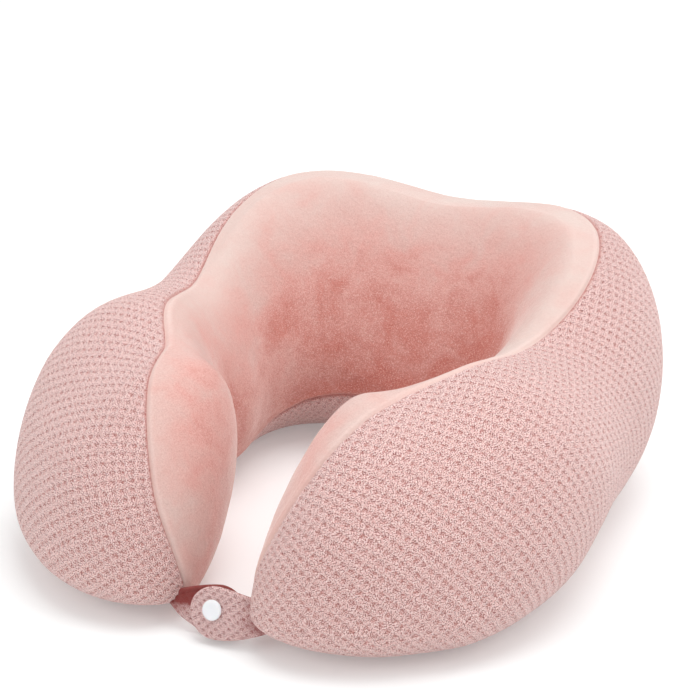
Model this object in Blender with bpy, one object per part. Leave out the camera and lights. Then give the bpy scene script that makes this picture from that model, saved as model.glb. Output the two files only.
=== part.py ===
"""U-shaped travel neck pillow: foam core, two-fabric zip cover, closure tabs and a plastic snap.

Metres, +Z up. The opening faces -Y, the wearer's neck is on the Z axis and the pillow lies on Z = 0.
Every soft part follows one skin surface, given by an angle round the neck and a turn round the
section, so that the covers and the foam are layers of the same shape at different depths.
"""

import math

import bmesh
import bpy
import numpy as np
from mathutils import Matrix, Vector

# Driving dimensions. Angles are in degrees from the middle of the back, positive to the right.
STATIONS = (0, 38, 72, 105, 135)
INNER_RADIUS = (0.0693, 0.0801, 0.0595, 0.0586, 0.0564)
WALL_WIDTH = (0.0980, 0.0972, 0.0837, 0.0929, 0.1036)
TOP_HEIGHT = (0.1295, 0.1348, 0.1074, 0.1122, 0.1064)
TOP_SHARE = (0.51, 0.486, 0.42, 0.37, 0.29)  # where the ridge stands across the wall
INNER_HEIGHT_SHARE = (0.333, 0.386, 0.435, 0.50, 0.585)
OUTER_HEIGHT_SHARE = (0.364, 0.485, 0.536, 0.490, 0.24)
FULLNESS_STATIONS = (0, 60, 135)
INNER_TOP_FULLNESS = (1.25, 1.61, 2.33)  # 2 is an ellipse, more is boxier
OUTER_TOP_FULLNESS = (2.67, 2.12, 1.92)
INNER_BOTTOM_FULLNESS = 2.00
OUTER_BOTTOM_FULLNESS = 2.15
TIP_START = 142.8
TIP_END = 171.8
TIP_CENTRE_SHARE = (0.65, 0.16)  # across the wall and up it
TIP_FULLNESS = 2.07
BOX_CENTRE_Y = 0.0116  # the skin's box is centred on the origin by this shift
PRESSED_FLAT = 0.002  # how much of the bottom its own weight flattens

# Where the plush panel ends, as a turn round the section: 0 bottom, 0.25 outside, 0.5 top, 0.75 inside.
SEAM_STATIONS = (0, 38, 72, 105, 130, 150, 163, 171)
UPPER_SEAM = (0.447, 0.460, 0.487, 0.530, 0.508, 0.456, 0.410, 0.380)
LOWER_SEAM = (0.775, 0.825, 0.87, 0.90, 0.92, 0.94, 0.96, 0.98)

COVER_THICKNESS = 0.0016
LAYER_GAP = 0.0013
SEAM_GAP_TURN = 0.001
FLEX_ANGLE = 55.0  # where each arm bends away from the back
FLEX_GAP_ANGLE = 0.15
TIP_RING = 0.08  # the layers stop at this share of the section before the tip closes

ZIP_HEIGHT = 0.030
ZIP_HALF_ANGLE = 13.0
ZIP_HALF_SLOT = 0.004
BARE_SEAM = 0.0003
SLOT_ROOM = 0.5  # degrees that the slot runs past the zip, and those in which it then closes
SLOT_TAPER = 1.5
ZIP_TAPE_THICKNESS = 0.0007
TAPE_MARGIN = 0.0005  # between a tape's edge and the slot's
ZIP_CHANNEL = 0.002  # how far the foam is hollowed behind the zip
FIT_GAP = 0.0003  # kept between neighbouring pieces
COIL_WIDTH = 0.0018
COIL_DEPTH = 0.0014
COIL_CHAMFER = 0.0002
MESH_GAP = 0.00015  # half the gap between the two rows of teeth
STOP_HALF_HEIGHT = 0.0022
STOP_ANGLES = (0.25, 0.85)  # degrees in from the zip's end
TEETH_MARGIN = 1.0
ZIP_STEPS = 24
SLIDER_HALF_ANGLE = 1.4
SLIDER_REST_ANGLE = 10.6
SLIDER_WALL = 0.0010
BAIL_HALF_LENGTH = 0.0032
BAIL_HEIGHT = 0.0030
BAIL_BAR = 0.0010
BAIL_SINK = 0.0004
PULL_LIFT = 0.0009
PULL_LENGTH = 0.022
PULL_HALF_WIDTH = 0.0029
PULL_HALF_THICKNESS = 0.0006
PULL_EYE = (0.0006, 0.0056, 0.0019)  # start, end and half width of the opening
PULL_END_STEPS = 12

TAB_CENTRE = Vector((0.0027, -0.1411, 0.0141))
TAB_LEAN = math.radians(22)  # the closure leans back from upright
TAB_WIDTH = 0.026
TAB_THICKNESS = 0.0020
TAB_ROOT_X = {1: 0.0190, -1: 0.0225}  # from the snap to the right tab's root and the left one's
TAB_END_X = 0.011  # how far each rounded end passes the snap
SNAP_RADIUS = 0.0048
STUD_RADIUS = 0.0026
SNAP_CLEARANCE = 0.0004
SOCKET_HEIGHT = 0.0022
STUD_BASE = 0.0008
STUD_HEIGHT = 0.0018
POST_RADIUS = 0.0011
SNAP_EDGE = 0.0003  # edge height of the caps, and the gap of each snap piece to its tab
CAP_HEIGHT = 0.0017
BACK_CAP_HEIGHT = 0.0012
SOCKET_FLOOR = 0.0006
POST_LENGTH = 0.0025
SNAP_CHAMFER = 0.0004
ROUND_SIDES = 28
TAB_END_STEPS = 12

PLUSH_COLUMNS = 10
MESH_COLUMNS = 17
LOWER_MESH_COLUMNS = 10
SLOT_COLUMNS = 1
UPPER_MESH_COLUMNS = 8
CUTTER_COLUMNS = 28
BACK_ROWS = 8
BACK_END_ROWS = 4
ARM_ROWS = 18

FOAM_COLOR = (0.93, 0.89, 0.78)
PLUSH_COLOR = (0.80, 0.45, 0.39)
MESH_COLOR = (0.82, 0.50, 0.47)
ZIP_COLOR = (0.78, 0.46, 0.43)
SNAP_COLOR = (0.90, 0.91, 0.93)


def curve_through(stations, values, angle):
    """Cubic spline through the stations, level at both ends and the same left and right."""
    s = np.array(stations, float)
    v = np.array(values, float)
    h = np.diff(s)
    system = np.eye(len(s))
    right = np.zeros(len(s))
    for i in range(1, len(s) - 1):
        system[i, i - 1 : i + 2] = 1 / h[i - 1], 2 / h[i - 1] + 2 / h[i], 1 / h[i]
        right[i] = 3 * (v[i] - v[i - 1]) / h[i - 1] ** 2 + 3 * (v[i + 1] - v[i]) / h[i] ** 2
    slope = np.linalg.solve(system, right)
    a = np.clip(np.abs(angle), s[0], s[-1])
    i = np.clip(np.searchsorted(s, a, side="right") - 1, 0, len(s) - 2)
    u = (a - s[i]) / h[i]
    rise = u * u * (3 - 2 * u)
    bend = h[i] * (u * (1 - u) ** 2 * slope[i] - u * u * (1 - u) * slope[i + 1])
    return v[i] * (1 - rise) + v[i + 1] * rise + bend


def skin(angle, turn):
    """Points of the skin for arrays of angle and turn that broadcast together."""
    angle, turn = np.broadcast_arrays(np.asarray(angle, float), np.asarray(turn, float))
    inner = curve_through(STATIONS, INNER_RADIUS, angle)
    width = curve_through(STATIONS, WALL_WIDTH, angle)
    top = curve_through(STATIONS, TOP_HEIGHT, angle)
    ridge = inner + width * curve_through(STATIONS, TOP_SHARE, angle)
    inner_height = top * curve_through(STATIONS, INNER_HEIGHT_SHARE, angle)
    outer_height = top * curve_through(STATIONS, OUTER_HEIGHT_SHARE, angle)
    inner_top = curve_through(FULLNESS_STATIONS, INNER_TOP_FULLNESS, angle)
    outer_top = curve_through(FULLNESS_STATIONS, OUTER_TOP_FULLNESS, angle)
    outer = inner + width
    middle = inner + width / 2
    part = np.mod(turn, 1) * 4
    quarter = np.floor(part).astype(int)
    c = np.abs(np.cos((part - quarter) * math.pi / 2))
    s = np.abs(np.sin((part - quarter) * math.pi / 2))
    lower_out = 2 / OUTER_BOTTOM_FULLNESS
    lower_in = 2 / INNER_BOTTOM_FULLNESS
    radius = np.choose(
        quarter,
        (
            middle + (outer - middle) * s**lower_out,
            ridge + (outer - ridge) * c ** (2 / outer_top),
            ridge - (ridge - inner) * s ** (2 / inner_top),
            middle - (middle - inner) * c**lower_in,
        ),
    )
    height = np.choose(
        quarter,
        (
            outer_height * (1 - c**lower_out),
            outer_height + (top - outer_height) * s ** (2 / outer_top),
            inner_height + (top - inner_height) * c ** (2 / inner_top),
            inner_height * (1 - s**lower_in),
        ),
    )
    tip = tip_scale(angle)
    centre_radius = inner + TIP_CENTRE_SHARE[0] * width
    centre_height = TIP_CENTRE_SHARE[1] * top
    radius = centre_radius + (radius - centre_radius) * tip
    height = centre_height + (height - centre_height) * tip
    height = np.maximum(height - PRESSED_FLAT, 0)
    a = np.radians(angle)
    return np.stack([radius * np.sin(a), radius * np.cos(a) - BOX_CENTRE_Y, height], -1)


def tip_scale(angle):
    """Share of the full section left at an angle: 1 along the arms, 0 where the tips close."""
    past = np.clip((np.abs(angle) - TIP_START) / (TIP_END - TIP_START), 0, 1)
    return (1 - past**TIP_FULLNESS) ** (1 / TIP_FULLNESS)


def skin_normal(angle, turn):
    """Outward normals of the skin, by central differences."""
    da = 0.2
    dt = 0.003
    along = skin(angle + da, turn) - skin(angle - da, turn)
    around = skin(angle, turn + dt) - skin(angle, turn - dt)
    normal = np.cross(around, along)
    return normal / np.linalg.norm(normal, axis=-1, keepdims=True)


def layer(angle, turn, depth):
    """Points that lie a depth below the skin."""
    return skin(angle, turn) - depth * skin_normal(angle, turn)


def turn_at_height(angle, height):
    """Turn on the lower outer quarter where the skin stands at a height."""
    top = curve_through(STATIONS, TOP_HEIGHT, angle)
    outer_height = top * curve_through(STATIONS, OUTER_HEIGHT_SHARE, angle)
    c = (1 - (height + PRESSED_FLAT) / outer_height) ** (OUTER_BOTTOM_FULLNESS / 2)
    return np.arccos(c) / (2 * math.pi)


def arm_angles(rows):
    """Angles from the flex line to just short of the tip, closer together round the tip."""
    straight = np.linspace(FLEX_ANGLE + FLEX_GAP_ANGLE, TIP_START, rows // 2 + 1)
    last = math.acos(TIP_RING ** (TIP_FULLNESS / 2))
    swing = np.linspace(0, last, rows - rows // 2 + 1)[1:]
    past = np.sin(swing) ** (2 / TIP_FULLNESS)
    return np.concatenate([straight, TIP_START + (TIP_END - TIP_START) * past])


def back_angles():
    """Angles across the back between the flex lines, with a row at each corner of the zip's slot."""
    end = zip_end_angle() + SLOT_ROOM
    beyond = np.linspace(end + SLOT_TAPER, FLEX_ANGLE - FLEX_GAP_ANGLE, BACK_END_ROWS + 1)
    across = np.linspace(-end, end, BACK_ROWS + 1)
    return np.concatenate([-beyond[::-1], across, beyond])


def material(name, color, roughness):
    """A Principled material in one colour."""
    made = bpy.data.materials.new(name)
    made.use_nodes = True
    shader = made.node_tree.nodes["Principled BSDF"]
    shader.inputs["Base Color"].default_value = (*color, 1)
    shader.inputs["Roughness"].default_value = roughness
    return made


def add_mesh(name, verts, faces, color, roughness=0.9, smooth_angle=40):
    """A closed mesh object with its faces turned outwards and its own material."""
    mesh = bpy.data.meshes.new(name)
    mesh.from_pydata([tuple(v) for v in verts], [], faces)
    made = bmesh.new()
    made.from_mesh(mesh)
    bmesh.ops.recalc_face_normals(made, faces=made.faces)
    made.to_mesh(mesh)
    made.free()
    mesh.shade_smooth()
    mesh.set_sharp_from_angle(angle=math.radians(smooth_angle))
    mesh.materials.append(material(name, color, roughness))
    thing = bpy.data.objects.new(name, mesh)
    bpy.context.scene.collection.objects.link(thing)
    return thing


def ring_body(name, rings, color, roughness=0.9):
    """A solid lofted through closed rings of equal length, closed at each end by a fan."""
    rings = np.asarray(rings)
    rows, cols = rings.shape[:2]
    verts = list(rings.reshape(-1, 3))
    faces = []
    for i in range(rows - 1):
        for j in range(cols):
            k = (j + 1) % cols
            faces.append((i * cols + j, i * cols + k, (i + 1) * cols + k, (i + 1) * cols + j))
    for row in (0, rows - 1):
        middle = len(verts)
        verts.append(rings[row].mean(0))
        for j in range(cols):
            faces.append((row * cols + j, row * cols + (j + 1) % cols, middle))
    return add_mesh(name, verts, faces, color, roughness)


def sheet_body(name, outer, inner, color, roughness=0.9):
    """A solid between two grids of points of the same size."""
    rows, cols = outer.shape[:2]
    count = rows * cols
    verts = list(outer.reshape(-1, 3)) + list(inner.reshape(-1, 3))
    faces = []
    for i in range(rows - 1):
        for j in range(cols - 1):
            a = i * cols + j
            quad = (a, a + 1, a + cols + 1, a + cols)
            faces.append(quad)
            faces.append(tuple(count + v for v in reversed(quad)))
    for i in range(rows - 1):
        for a in (i * cols, i * cols + cols - 1):
            faces.append((a, a + cols, count + a + cols, count + a))
    for j in range(cols - 1):
        for a in (j, (rows - 1) * cols + j):
            faces.append((a, a + 1, count + a + 1, count + a))
    return add_mesh(name, verts, faces, color, roughness)


def spread(turn_from, turn_to, columns):
    """Evenly spread turns from one border to the other, for every angle."""
    share = np.linspace(0, 1, columns + 1)
    return turn_from[:, None] + (turn_to - turn_from)[:, None] * share[None]


def foam_segment(name, angles, borders, columns, channel=0.0):
    """A length of the foam core below the cover, with its facets under the cover's own.

    A channel sinks the foam behind the zip, whose slot is the one that is a single column wide.
    """
    parts = [spread(a, b, n)[:, :-1] for a, b, n in zip(borders, borders[1:], columns)]
    turns = np.concatenate(parts, axis=1)
    depth = np.full(turns.shape, COVER_THICKNESS + LAYER_GAP)
    if channel:
        first = PLUSH_COLUMNS + LOWER_MESH_COLUMNS
        depth[:, first : first + SLOT_COLUMNS + 1] += channel
    rings = layer(angles[:, None], turns, depth[..., None])
    return ring_body(name, rings, FOAM_COLOR)


def cover_panel(name, angles, turn_from, turn_to, columns, color):
    """A length of cover fabric between two turns, each given for every angle."""
    turns = spread(turn_from + SEAM_GAP_TURN, turn_to - SEAM_GAP_TURN, columns)
    outer = layer(angles[:, None], turns, 0.0)
    inner = layer(angles[:, None], turns, COVER_THICKNESS)
    return sheet_body(name, outer, inner, color)


def build_cushion():
    """Foam core and cover, in three lengths that meet at the flex lines."""
    back = back_angles()
    right = arm_angles(ARM_ROWS)
    for side, angles in (("back", back), ("right_arm", right), ("left_arm", -right)):
        upper = curve_through(SEAM_STATIONS, UPPER_SEAM, angles)
        lower = curve_through(SEAM_STATIONS, LOWER_SEAM, angles)
        plush = f"plush_panel_{side}"
        cover_panel(plush, angles, upper, lower, PLUSH_COLUMNS, PLUSH_COLOR)
        foam = f"foam_core_{side}"
        if side == "back":
            low, high = zip_slot(angles)
            cover_panel(
                "mesh_panel_back_lower", angles, lower - 1, low, LOWER_MESH_COLUMNS, MESH_COLOR
            )
            cover_panel(
                "mesh_panel_back_upper", angles, high, upper, UPPER_MESH_COLUMNS, MESH_COLOR
            )
            borders = (upper - 1, lower - 1, low, high, upper)
            columns = (PLUSH_COLUMNS, LOWER_MESH_COLUMNS, SLOT_COLUMNS, UPPER_MESH_COLUMNS)
            foam_segment(foam, angles, borders, columns, ZIP_CHANNEL)
        else:
            cover_panel(f"mesh_panel_{side}", angles, lower - 1, upper, MESH_COLUMNS, MESH_COLOR)
            foam_segment(foam, angles, (upper - 1, lower - 1, upper), (PLUSH_COLUMNS, MESH_COLUMNS))


def zip_slot(angles):
    """Turns of the zip opening's lower and upper edge, a bare seam beyond the zip's ends."""
    past = np.abs(angles) - zip_end_angle() - SLOT_ROOM
    fade = np.clip(1 - past / SLOT_TAPER, 0, 1)
    half = BARE_SEAM + (ZIP_HALF_SLOT - BARE_SEAM) * fade
    return turn_at_height(angles, ZIP_HEIGHT - half), turn_at_height(angles, ZIP_HEIGHT + half)


def zip_arc():
    """Centre (on the Y axis) and radius of the level arc that the zip follows on the skin."""
    probe = 24.0
    middle = skin(0.0, turn_at_height(0.0, ZIP_HEIGHT))
    side = skin(probe, turn_at_height(probe, ZIP_HEIGHT))
    drop = middle[1] - side[1]
    radius = (side[0] ** 2 + drop**2) / (2 * drop)
    return middle[1] - radius, radius


def zip_end_angle():
    """Angle from the neck axis at which the zip's arc ends."""
    centre, radius = zip_arc()
    swing = math.radians(ZIP_HALF_ANGLE)
    across = radius * math.sin(swing)
    back = centre + radius * math.cos(swing) + BOX_CENTRE_Y
    return math.degrees(math.atan2(across, back))


def arc_sweep(name, profile, ends, steps, color, roughness=0.5):
    """A profile of (radius, height) points swept along the zip's arc between two angles."""
    centre, _ = zip_arc()
    rings = []
    for swing in np.radians(np.linspace(*ends, steps + 1)):
        ring = [(r * math.sin(swing), centre + r * math.cos(swing), z) for r, z in profile]
        rings.append(ring)
    return ring_body(name, rings, color, roughness)


def box_profile(r0, r1, z0, z1):
    """The four corners of a rectangular profile."""
    return [(r0, z0), (r1, z0), (r1, z1), (r0, z1)]


def build_zip():
    """Tapes, rows of teeth, end stops, slider and pull, along a level arc low on the back."""
    _, radius = zip_arc()
    tape_in = radius - ZIP_TAPE_THICKNESS
    coil_in = radius + FIT_GAP
    coil_out = coil_in + COIL_DEPTH
    for name, side in (("lower", -1), ("upper", 1)):
        edges = sorted((side * MESH_GAP, side * (ZIP_HALF_SLOT - TAPE_MARGIN)))
        tape = box_profile(tape_in, radius, ZIP_HEIGHT + edges[0], ZIP_HEIGHT + edges[1])
        ends = (-ZIP_HALF_ANGLE, ZIP_HALF_ANGLE)
        arc_sweep(f"zip_tape_{name}", tape, ends, ZIP_STEPS, ZIP_COLOR, 0.8)
        near = ZIP_HEIGHT + side * MESH_GAP
        far = near + side * COIL_WIDTH
        row = [
            (coil_in, near),
            (coil_in, far),
            (coil_in + COIL_DEPTH / 2, far + side * COIL_CHAMFER),
            (coil_out, far - side * 2 * COIL_CHAMFER),
            (coil_out, near),
        ]
        reach = ZIP_HALF_ANGLE - TEETH_MARGIN
        arc_sweep(f"zip_teeth_{name}", row, (-reach, reach), ZIP_STEPS, ZIP_COLOR, 0.4)
    low = ZIP_HEIGHT - STOP_HALF_HEIGHT
    high = ZIP_HEIGHT + STOP_HALF_HEIGHT
    stop = box_profile(coil_in, coil_out + 2 * COIL_CHAMFER, low, high)
    near, far = (ZIP_HALF_ANGLE - a for a in STOP_ANGLES)
    arc_sweep("zip_stop_left", stop, (-near, -far), 1, ZIP_COLOR, 0.4)
    arc_sweep("zip_stop_right", stop, (far, near), 1, ZIP_COLOR, 0.4)
    build_slider(radius, coil_out)


def build_slider(tape_out, coil_out):
    """Slider body that hugs the teeth, with the bail that holds the pull."""
    centre, _ = zip_arc()
    under = coil_out + FIT_GAP
    top = under + SLIDER_WALL
    foot = tape_out + FIT_GAP
    inside = COIL_WIDTH + MESH_GAP + COIL_CHAMFER + FIT_GAP
    outside = inside + SLIDER_WALL
    z = ZIP_HEIGHT
    hood = [
        (foot, z - outside),
        (top - FIT_GAP, z - outside),
        (top, z - outside + FIT_GAP),
        (top, z + outside - FIT_GAP),
        (top - FIT_GAP, z + outside),
        (foot, z + outside),
        (foot, z + inside),
        (under, z + inside),
        (under, z - inside),
        (foot, z - inside),
    ]
    ends = (SLIDER_REST_ANGLE - SLIDER_HALF_ANGLE, SLIDER_REST_ANGLE + SLIDER_HALF_ANGLE)
    slider = arc_sweep("zip_slider", hood, ends, 4, ZIP_COLOR, 0.4)
    swing = math.radians(SLIDER_REST_ANGLE)
    outward = Vector((math.sin(swing), math.cos(swing), 0))
    onward = Vector((-math.cos(swing), math.sin(swing), 0))
    crown = Vector((0, centre, z)) + outward * top
    # The bail is an arch over the pull's end bar; its feet sink into the hood and are joined to it.
    wide = BAIL_HALF_LENGTH
    slim = wide - BAIL_BAR
    arch = [(-wide, -BAIL_SINK), (-wide, BAIL_HEIGHT), (wide, BAIL_HEIGHT), (wide, -BAIL_SINK)]
    roof = BAIL_HEIGHT - BAIL_BAR
    arch += [(slim, -BAIL_SINK), (slim, roof), (-slim, roof), (-slim, -BAIL_SINK)]
    rings = []
    for side in (-BAIL_BAR, BAIL_BAR):
        rings.append([crown + onward * a + outward * b + Vector((0, 0, side)) for a, b in arch])
    join(slider, prism("zip_bail", rings, ZIP_COLOR))
    move_origin(slider, Vector((0, centre, 0)))
    build_pull(crown + outward * PULL_LIFT, onward, outward)


def build_pull(axis_point, onward, outward):
    """Pull tab lying along the teeth, with an eye that the slider's bail passes through."""
    up = Vector((0, 0, 1))
    half = PULL_HALF_THICKNESS
    straight = PULL_LENGTH - PULL_HALF_WIDTH
    outline = [(-half, -PULL_HALF_WIDTH), (-half, PULL_HALF_WIDTH)]
    for step in range(PULL_END_STEPS + 1):
        a = math.pi / 2 - math.pi * step / PULL_END_STEPS
        outline.append((straight + PULL_HALF_WIDTH * math.cos(a), PULL_HALF_WIDTH * math.sin(a)))
    rings = []
    for side in (-half, half):
        rings.append([axis_point + onward * a + up * b + outward * side for a, b in outline])
    pull = prism("zip_pull", rings, ZIP_COLOR)
    start, end, wide = PULL_EYE
    eye = [(start, -wide), (end, -wide), (end, wide), (start, wide)]
    rings = []
    for side in (-PULL_HALF_WIDTH, PULL_HALF_WIDTH):
        rings.append([axis_point + onward * a + up * b + outward * side for a, b in eye])
    cut(pull, prism("pull_eye_cutter", rings, ZIP_COLOR))
    move_origin(pull, axis_point)


def prism(name, rings, color, roughness=0.45):
    """A solid between two equal outlines, each closed by one flat face."""
    count = len(rings[0])
    faces = [tuple(range(count)), tuple(range(2 * count - 1, count - 1, -1))]
    for j in range(count):
        k = (j + 1) % count
        faces.append((j, k, count + k, count + j))
    return add_mesh(name, list(rings[0]) + list(rings[1]), faces, color, roughness)


def apply_boolean(thing, other, operation):
    """Runs one exact Boolean on a thing and removes the other body."""
    step = thing.modifiers.new(operation.lower(), "BOOLEAN")
    step.operation = operation
    step.solver = "EXACT"
    step.object = other
    bpy.context.view_layer.update()
    graph = bpy.context.evaluated_depsgraph_get()
    result = bpy.data.meshes.new_from_object(thing.evaluated_get(graph))
    thing.modifiers.clear()
    old = thing.data
    thing.data = result
    result.name = thing.name
    bpy.data.objects.remove(other)
    bpy.data.meshes.remove(old)


def cut(thing, cutter):
    """Takes the cutter's volume out of a thing."""
    apply_boolean(thing, cutter, "DIFFERENCE")


def join(thing, other):
    """Makes one body of two that overlap."""
    apply_boolean(thing, other, "UNION")


def move_origin(thing, point):
    """Puts an object's origin on a point, such as its joint's axis, and leaves its shape in place."""
    thing.data.transform(Matrix.Translation(-point))
    thing.location = point


def tab_frame(offset):
    """Matrix of the closure: X along the tabs, Y up them, Z out towards the wearer's front."""
    out = Vector((0, -math.cos(TAB_LEAN), math.sin(TAB_LEAN)))
    up = Vector((0, math.sin(TAB_LEAN), math.cos(TAB_LEAN)))
    frame = Matrix((Vector((1, 0, 0)), up, out)).transposed().to_4x4()
    frame.translation = TAB_CENTRE + out * offset
    return frame


def round_body(name, profile, frame, color, roughness=0.3):
    """A turned solid from (radius, height) points, whose first and last points are on the axis."""
    verts = [frame @ Vector((0, 0, profile[0][1]))]
    for r, h in profile[1:-1]:
        for k in range(ROUND_SIDES):
            a = 2 * math.pi * k / ROUND_SIDES
            verts.append(frame @ Vector((r * math.cos(a), r * math.sin(a), h)))
    verts.append(frame @ Vector((0, 0, profile[-1][1])))
    faces = []
    last = len(verts) - 1
    rows = len(profile) - 2
    for k in range(ROUND_SIDES):
        n = (k + 1) % ROUND_SIDES
        faces.append((0, 1 + k, 1 + n))
        base = 1 + (rows - 1) * ROUND_SIDES
        faces.append((last, base + n, base + k))
        for i in range(rows - 1):
            a = 1 + i * ROUND_SIDES
            b = a + ROUND_SIDES
            faces.append((a + k, a + n, b + n, b + k))
    return add_mesh(name, verts, faces, color, roughness)


def dome(radius, height, steps):
    """Profile of a shallow cap from its rim to the middle of its top."""
    points = [(radius - SNAP_CHAMFER, 0.0), (radius, SNAP_EDGE)]
    for k in range(1, steps):
        a = math.pi / 2 * k / steps
        rise = SNAP_EDGE + (height - SNAP_EDGE) * math.sin(a)
        points.append((radius * math.cos(a) ** 0.6, rise))
    points.append((0.0, height))
    return points


def build_tab(name, side, frame, arm_cutter):
    """A closure tab, sewn to the right arm for side 1, whose back face is at 0 in its frame."""
    half = TAB_WIDTH / 2
    root = side * TAB_ROOT_X[side]
    outline = [(root, -half), (root, half)]
    centre = half - TAB_END_X
    for step in range(TAB_END_STEPS + 1):
        a = math.pi / 2 + math.pi * step / TAB_END_STEPS
        outline.append((side * (centre + half * math.cos(a)), half * math.sin(a)))
    rings = []
    for h in (0.0, TAB_THICKNESS):
        rings.append([frame @ Vector((x, y, h)) for x, y in outline])
    tab = prism(name, rings, MESH_COLOR, 0.9)
    bore = POST_RADIUS + FIT_GAP
    past = TAB_THICKNESS / 2
    hole = [(0, -past), (bore, -past), (bore, TAB_THICKNESS + past), (0, TAB_THICKNESS + past)]
    cut(tab, round_body("post_cutter", hole, frame, MESH_COLOR))
    cut(tab, arm_cutter)
    return tab


def arm_tip_cutter(side):
    """The arm's end, grown by the gap that a tab keeps to it."""
    angles = side * arm_angles(ARM_ROWS)[4:]
    turns = np.arange(CUTTER_COLUMNS) / CUTTER_COLUMNS
    rings = layer(angles[:, None], turns[None], -LAYER_GAP)
    return ring_body("arm_cutter", rings, MESH_COLOR)


def build_closure():
    """Right tab in front with the snap's cap and socket, left tab behind with the stud."""
    front = (SOCKET_HEIGHT + SNAP_CLEARANCE + STUD_HEIGHT + STUD_BASE) / 2
    right_frame = tab_frame(front)
    left_frame = tab_frame(-front - TAB_THICKNESS)
    right = build_tab("closure_tab_right", 1, right_frame, arm_tip_cutter(1))
    left = build_tab("closure_tab_left", -1, left_frame, arm_tip_cutter(-1))
    move_origin(right, right_frame @ Vector((TAB_ROOT_X[1], 0, TAB_THICKNESS)))
    move_origin(left, left_frame @ Vector((-TAB_ROOT_X[-1], 0, 0)))
    post_end = -POST_LENGTH
    post = [(0, post_end), (POST_RADIUS, post_end), (POST_RADIUS, 0)]
    cap_frame = tab_frame(front + TAB_THICKNESS + SNAP_EDGE)
    round_body("snap_cap", post + dome(SNAP_RADIUS, CAP_HEIGHT, 6), cap_frame, SNAP_COLOR)
    turned = Matrix.Rotation(math.pi, 4, "X")
    back_frame = tab_frame(-front - TAB_THICKNESS - SNAP_EDGE) @ turned
    back_cap = post + dome(SNAP_RADIUS, BACK_CAP_HEIGHT, 5)
    round_body("snap_back_cap", back_cap, back_frame, SNAP_COLOR)
    build_socket(tab_frame(front - SNAP_EDGE))
    build_stud(tab_frame(SNAP_EDGE - front))


def build_socket(frame):
    """Socket ring behind the right tab, open towards the stud."""
    outer = SNAP_RADIUS - SNAP_EDGE
    deep = SOCKET_HEIGHT - SNAP_EDGE
    profile = [
        (0, 0),
        (outer, 0),
        (outer, -deep + SNAP_CHAMFER),
        (outer - SNAP_CHAMFER, -deep),
        (STUD_RADIUS + SNAP_EDGE, -deep),
        (STUD_RADIUS + SNAP_EDGE / 2, -deep + SNAP_CHAMFER),
        (STUD_RADIUS + SNAP_CHAMFER, -SOCKET_FLOOR - SNAP_EDGE),
        (STUD_RADIUS, -SOCKET_FLOOR),
        (0, -SOCKET_FLOOR),
    ]
    round_body("snap_socket", profile, frame, SNAP_COLOR)


def build_stud(frame):
    """Stud on the left tab: a round foot, a waist and a wider knob."""
    foot = SNAP_RADIUS - SNAP_CHAMFER
    knob = STUD_BASE + STUD_HEIGHT - SNAP_EDGE
    waist = STUD_RADIUS - SNAP_CHAMFER
    profile = [
        (0, 0),
        (foot - SNAP_EDGE, 0),
        (foot, SNAP_EDGE),
        (foot - SNAP_CHAMFER, STUD_BASE),
        (waist, STUD_BASE),
        (waist, knob * 0.55),
        (STUD_RADIUS, knob * 0.8),
        (waist, knob),
        (0, knob),
    ]
    round_body("snap_stud", profile, frame, SNAP_COLOR)


for old in list(bpy.data.objects):
    bpy.data.objects.remove(old)
build_cushion()
build_zip()
build_closure()
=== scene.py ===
"""Looks of the U-shaped travel neck pillow: waffle knit and plush covers, foam, tabs, snap and zip.

Metres, +Z up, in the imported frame. Every soft piece is a fine grid on one skin surface, given by an
angle round the neck (degrees, 0 at the middle of the back) and a turn round the section (0 bottom,
0.25 outside, 0.5 top, 0.75 inside), and is then shaped by seams, knit and nap.
"""

import math

import bmesh
import bpy
import numpy as np
from mathutils import Matrix, Vector, noise


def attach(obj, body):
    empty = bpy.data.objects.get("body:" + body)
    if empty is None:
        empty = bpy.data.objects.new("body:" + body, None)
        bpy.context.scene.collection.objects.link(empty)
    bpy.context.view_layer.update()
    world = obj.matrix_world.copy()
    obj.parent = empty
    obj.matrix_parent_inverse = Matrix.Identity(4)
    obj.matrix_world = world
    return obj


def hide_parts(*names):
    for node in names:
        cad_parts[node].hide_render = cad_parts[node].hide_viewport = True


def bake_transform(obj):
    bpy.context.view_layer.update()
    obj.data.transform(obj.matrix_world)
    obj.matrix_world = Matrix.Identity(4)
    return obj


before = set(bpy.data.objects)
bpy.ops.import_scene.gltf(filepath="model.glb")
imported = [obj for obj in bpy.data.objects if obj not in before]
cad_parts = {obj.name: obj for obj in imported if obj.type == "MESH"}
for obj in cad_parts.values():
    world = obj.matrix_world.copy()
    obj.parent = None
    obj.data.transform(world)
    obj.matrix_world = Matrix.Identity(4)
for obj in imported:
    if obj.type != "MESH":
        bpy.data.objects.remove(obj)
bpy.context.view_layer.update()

MM = 0.001

# The skin: sizes in metres at angles round the neck in degrees

STATIONS = (0, 38, 72, 105, 135)
INNER_RADIUS = (0.0693, 0.0801, 0.0595, 0.0586, 0.0564)
WALL_WIDTH = (0.0980, 0.0972, 0.0837, 0.0929, 0.1036)
TOP_HEIGHT = (0.1295, 0.1348, 0.1074, 0.1122, 0.1064)
TOP_SHARE = (0.51, 0.486, 0.42, 0.37, 0.29)
INNER_HEIGHT_SHARE = (0.333, 0.386, 0.435, 0.50, 0.585)
OUTER_HEIGHT_SHARE = (0.364, 0.485, 0.536, 0.490, 0.24)
FULLNESS_STATIONS = (0, 60, 135)
INNER_TOP_FULLNESS = (1.25, 1.61, 2.33)
OUTER_TOP_FULLNESS = (2.67, 2.12, 1.92)
INNER_BOTTOM_FULLNESS = 2.00
OUTER_BOTTOM_FULLNESS = 2.15
TIP_START = 142.8
TIP_END = 171.8
TIP_CENTRE_SHARE = (0.65, 0.16)
TIP_FULLNESS = 2.07
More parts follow.
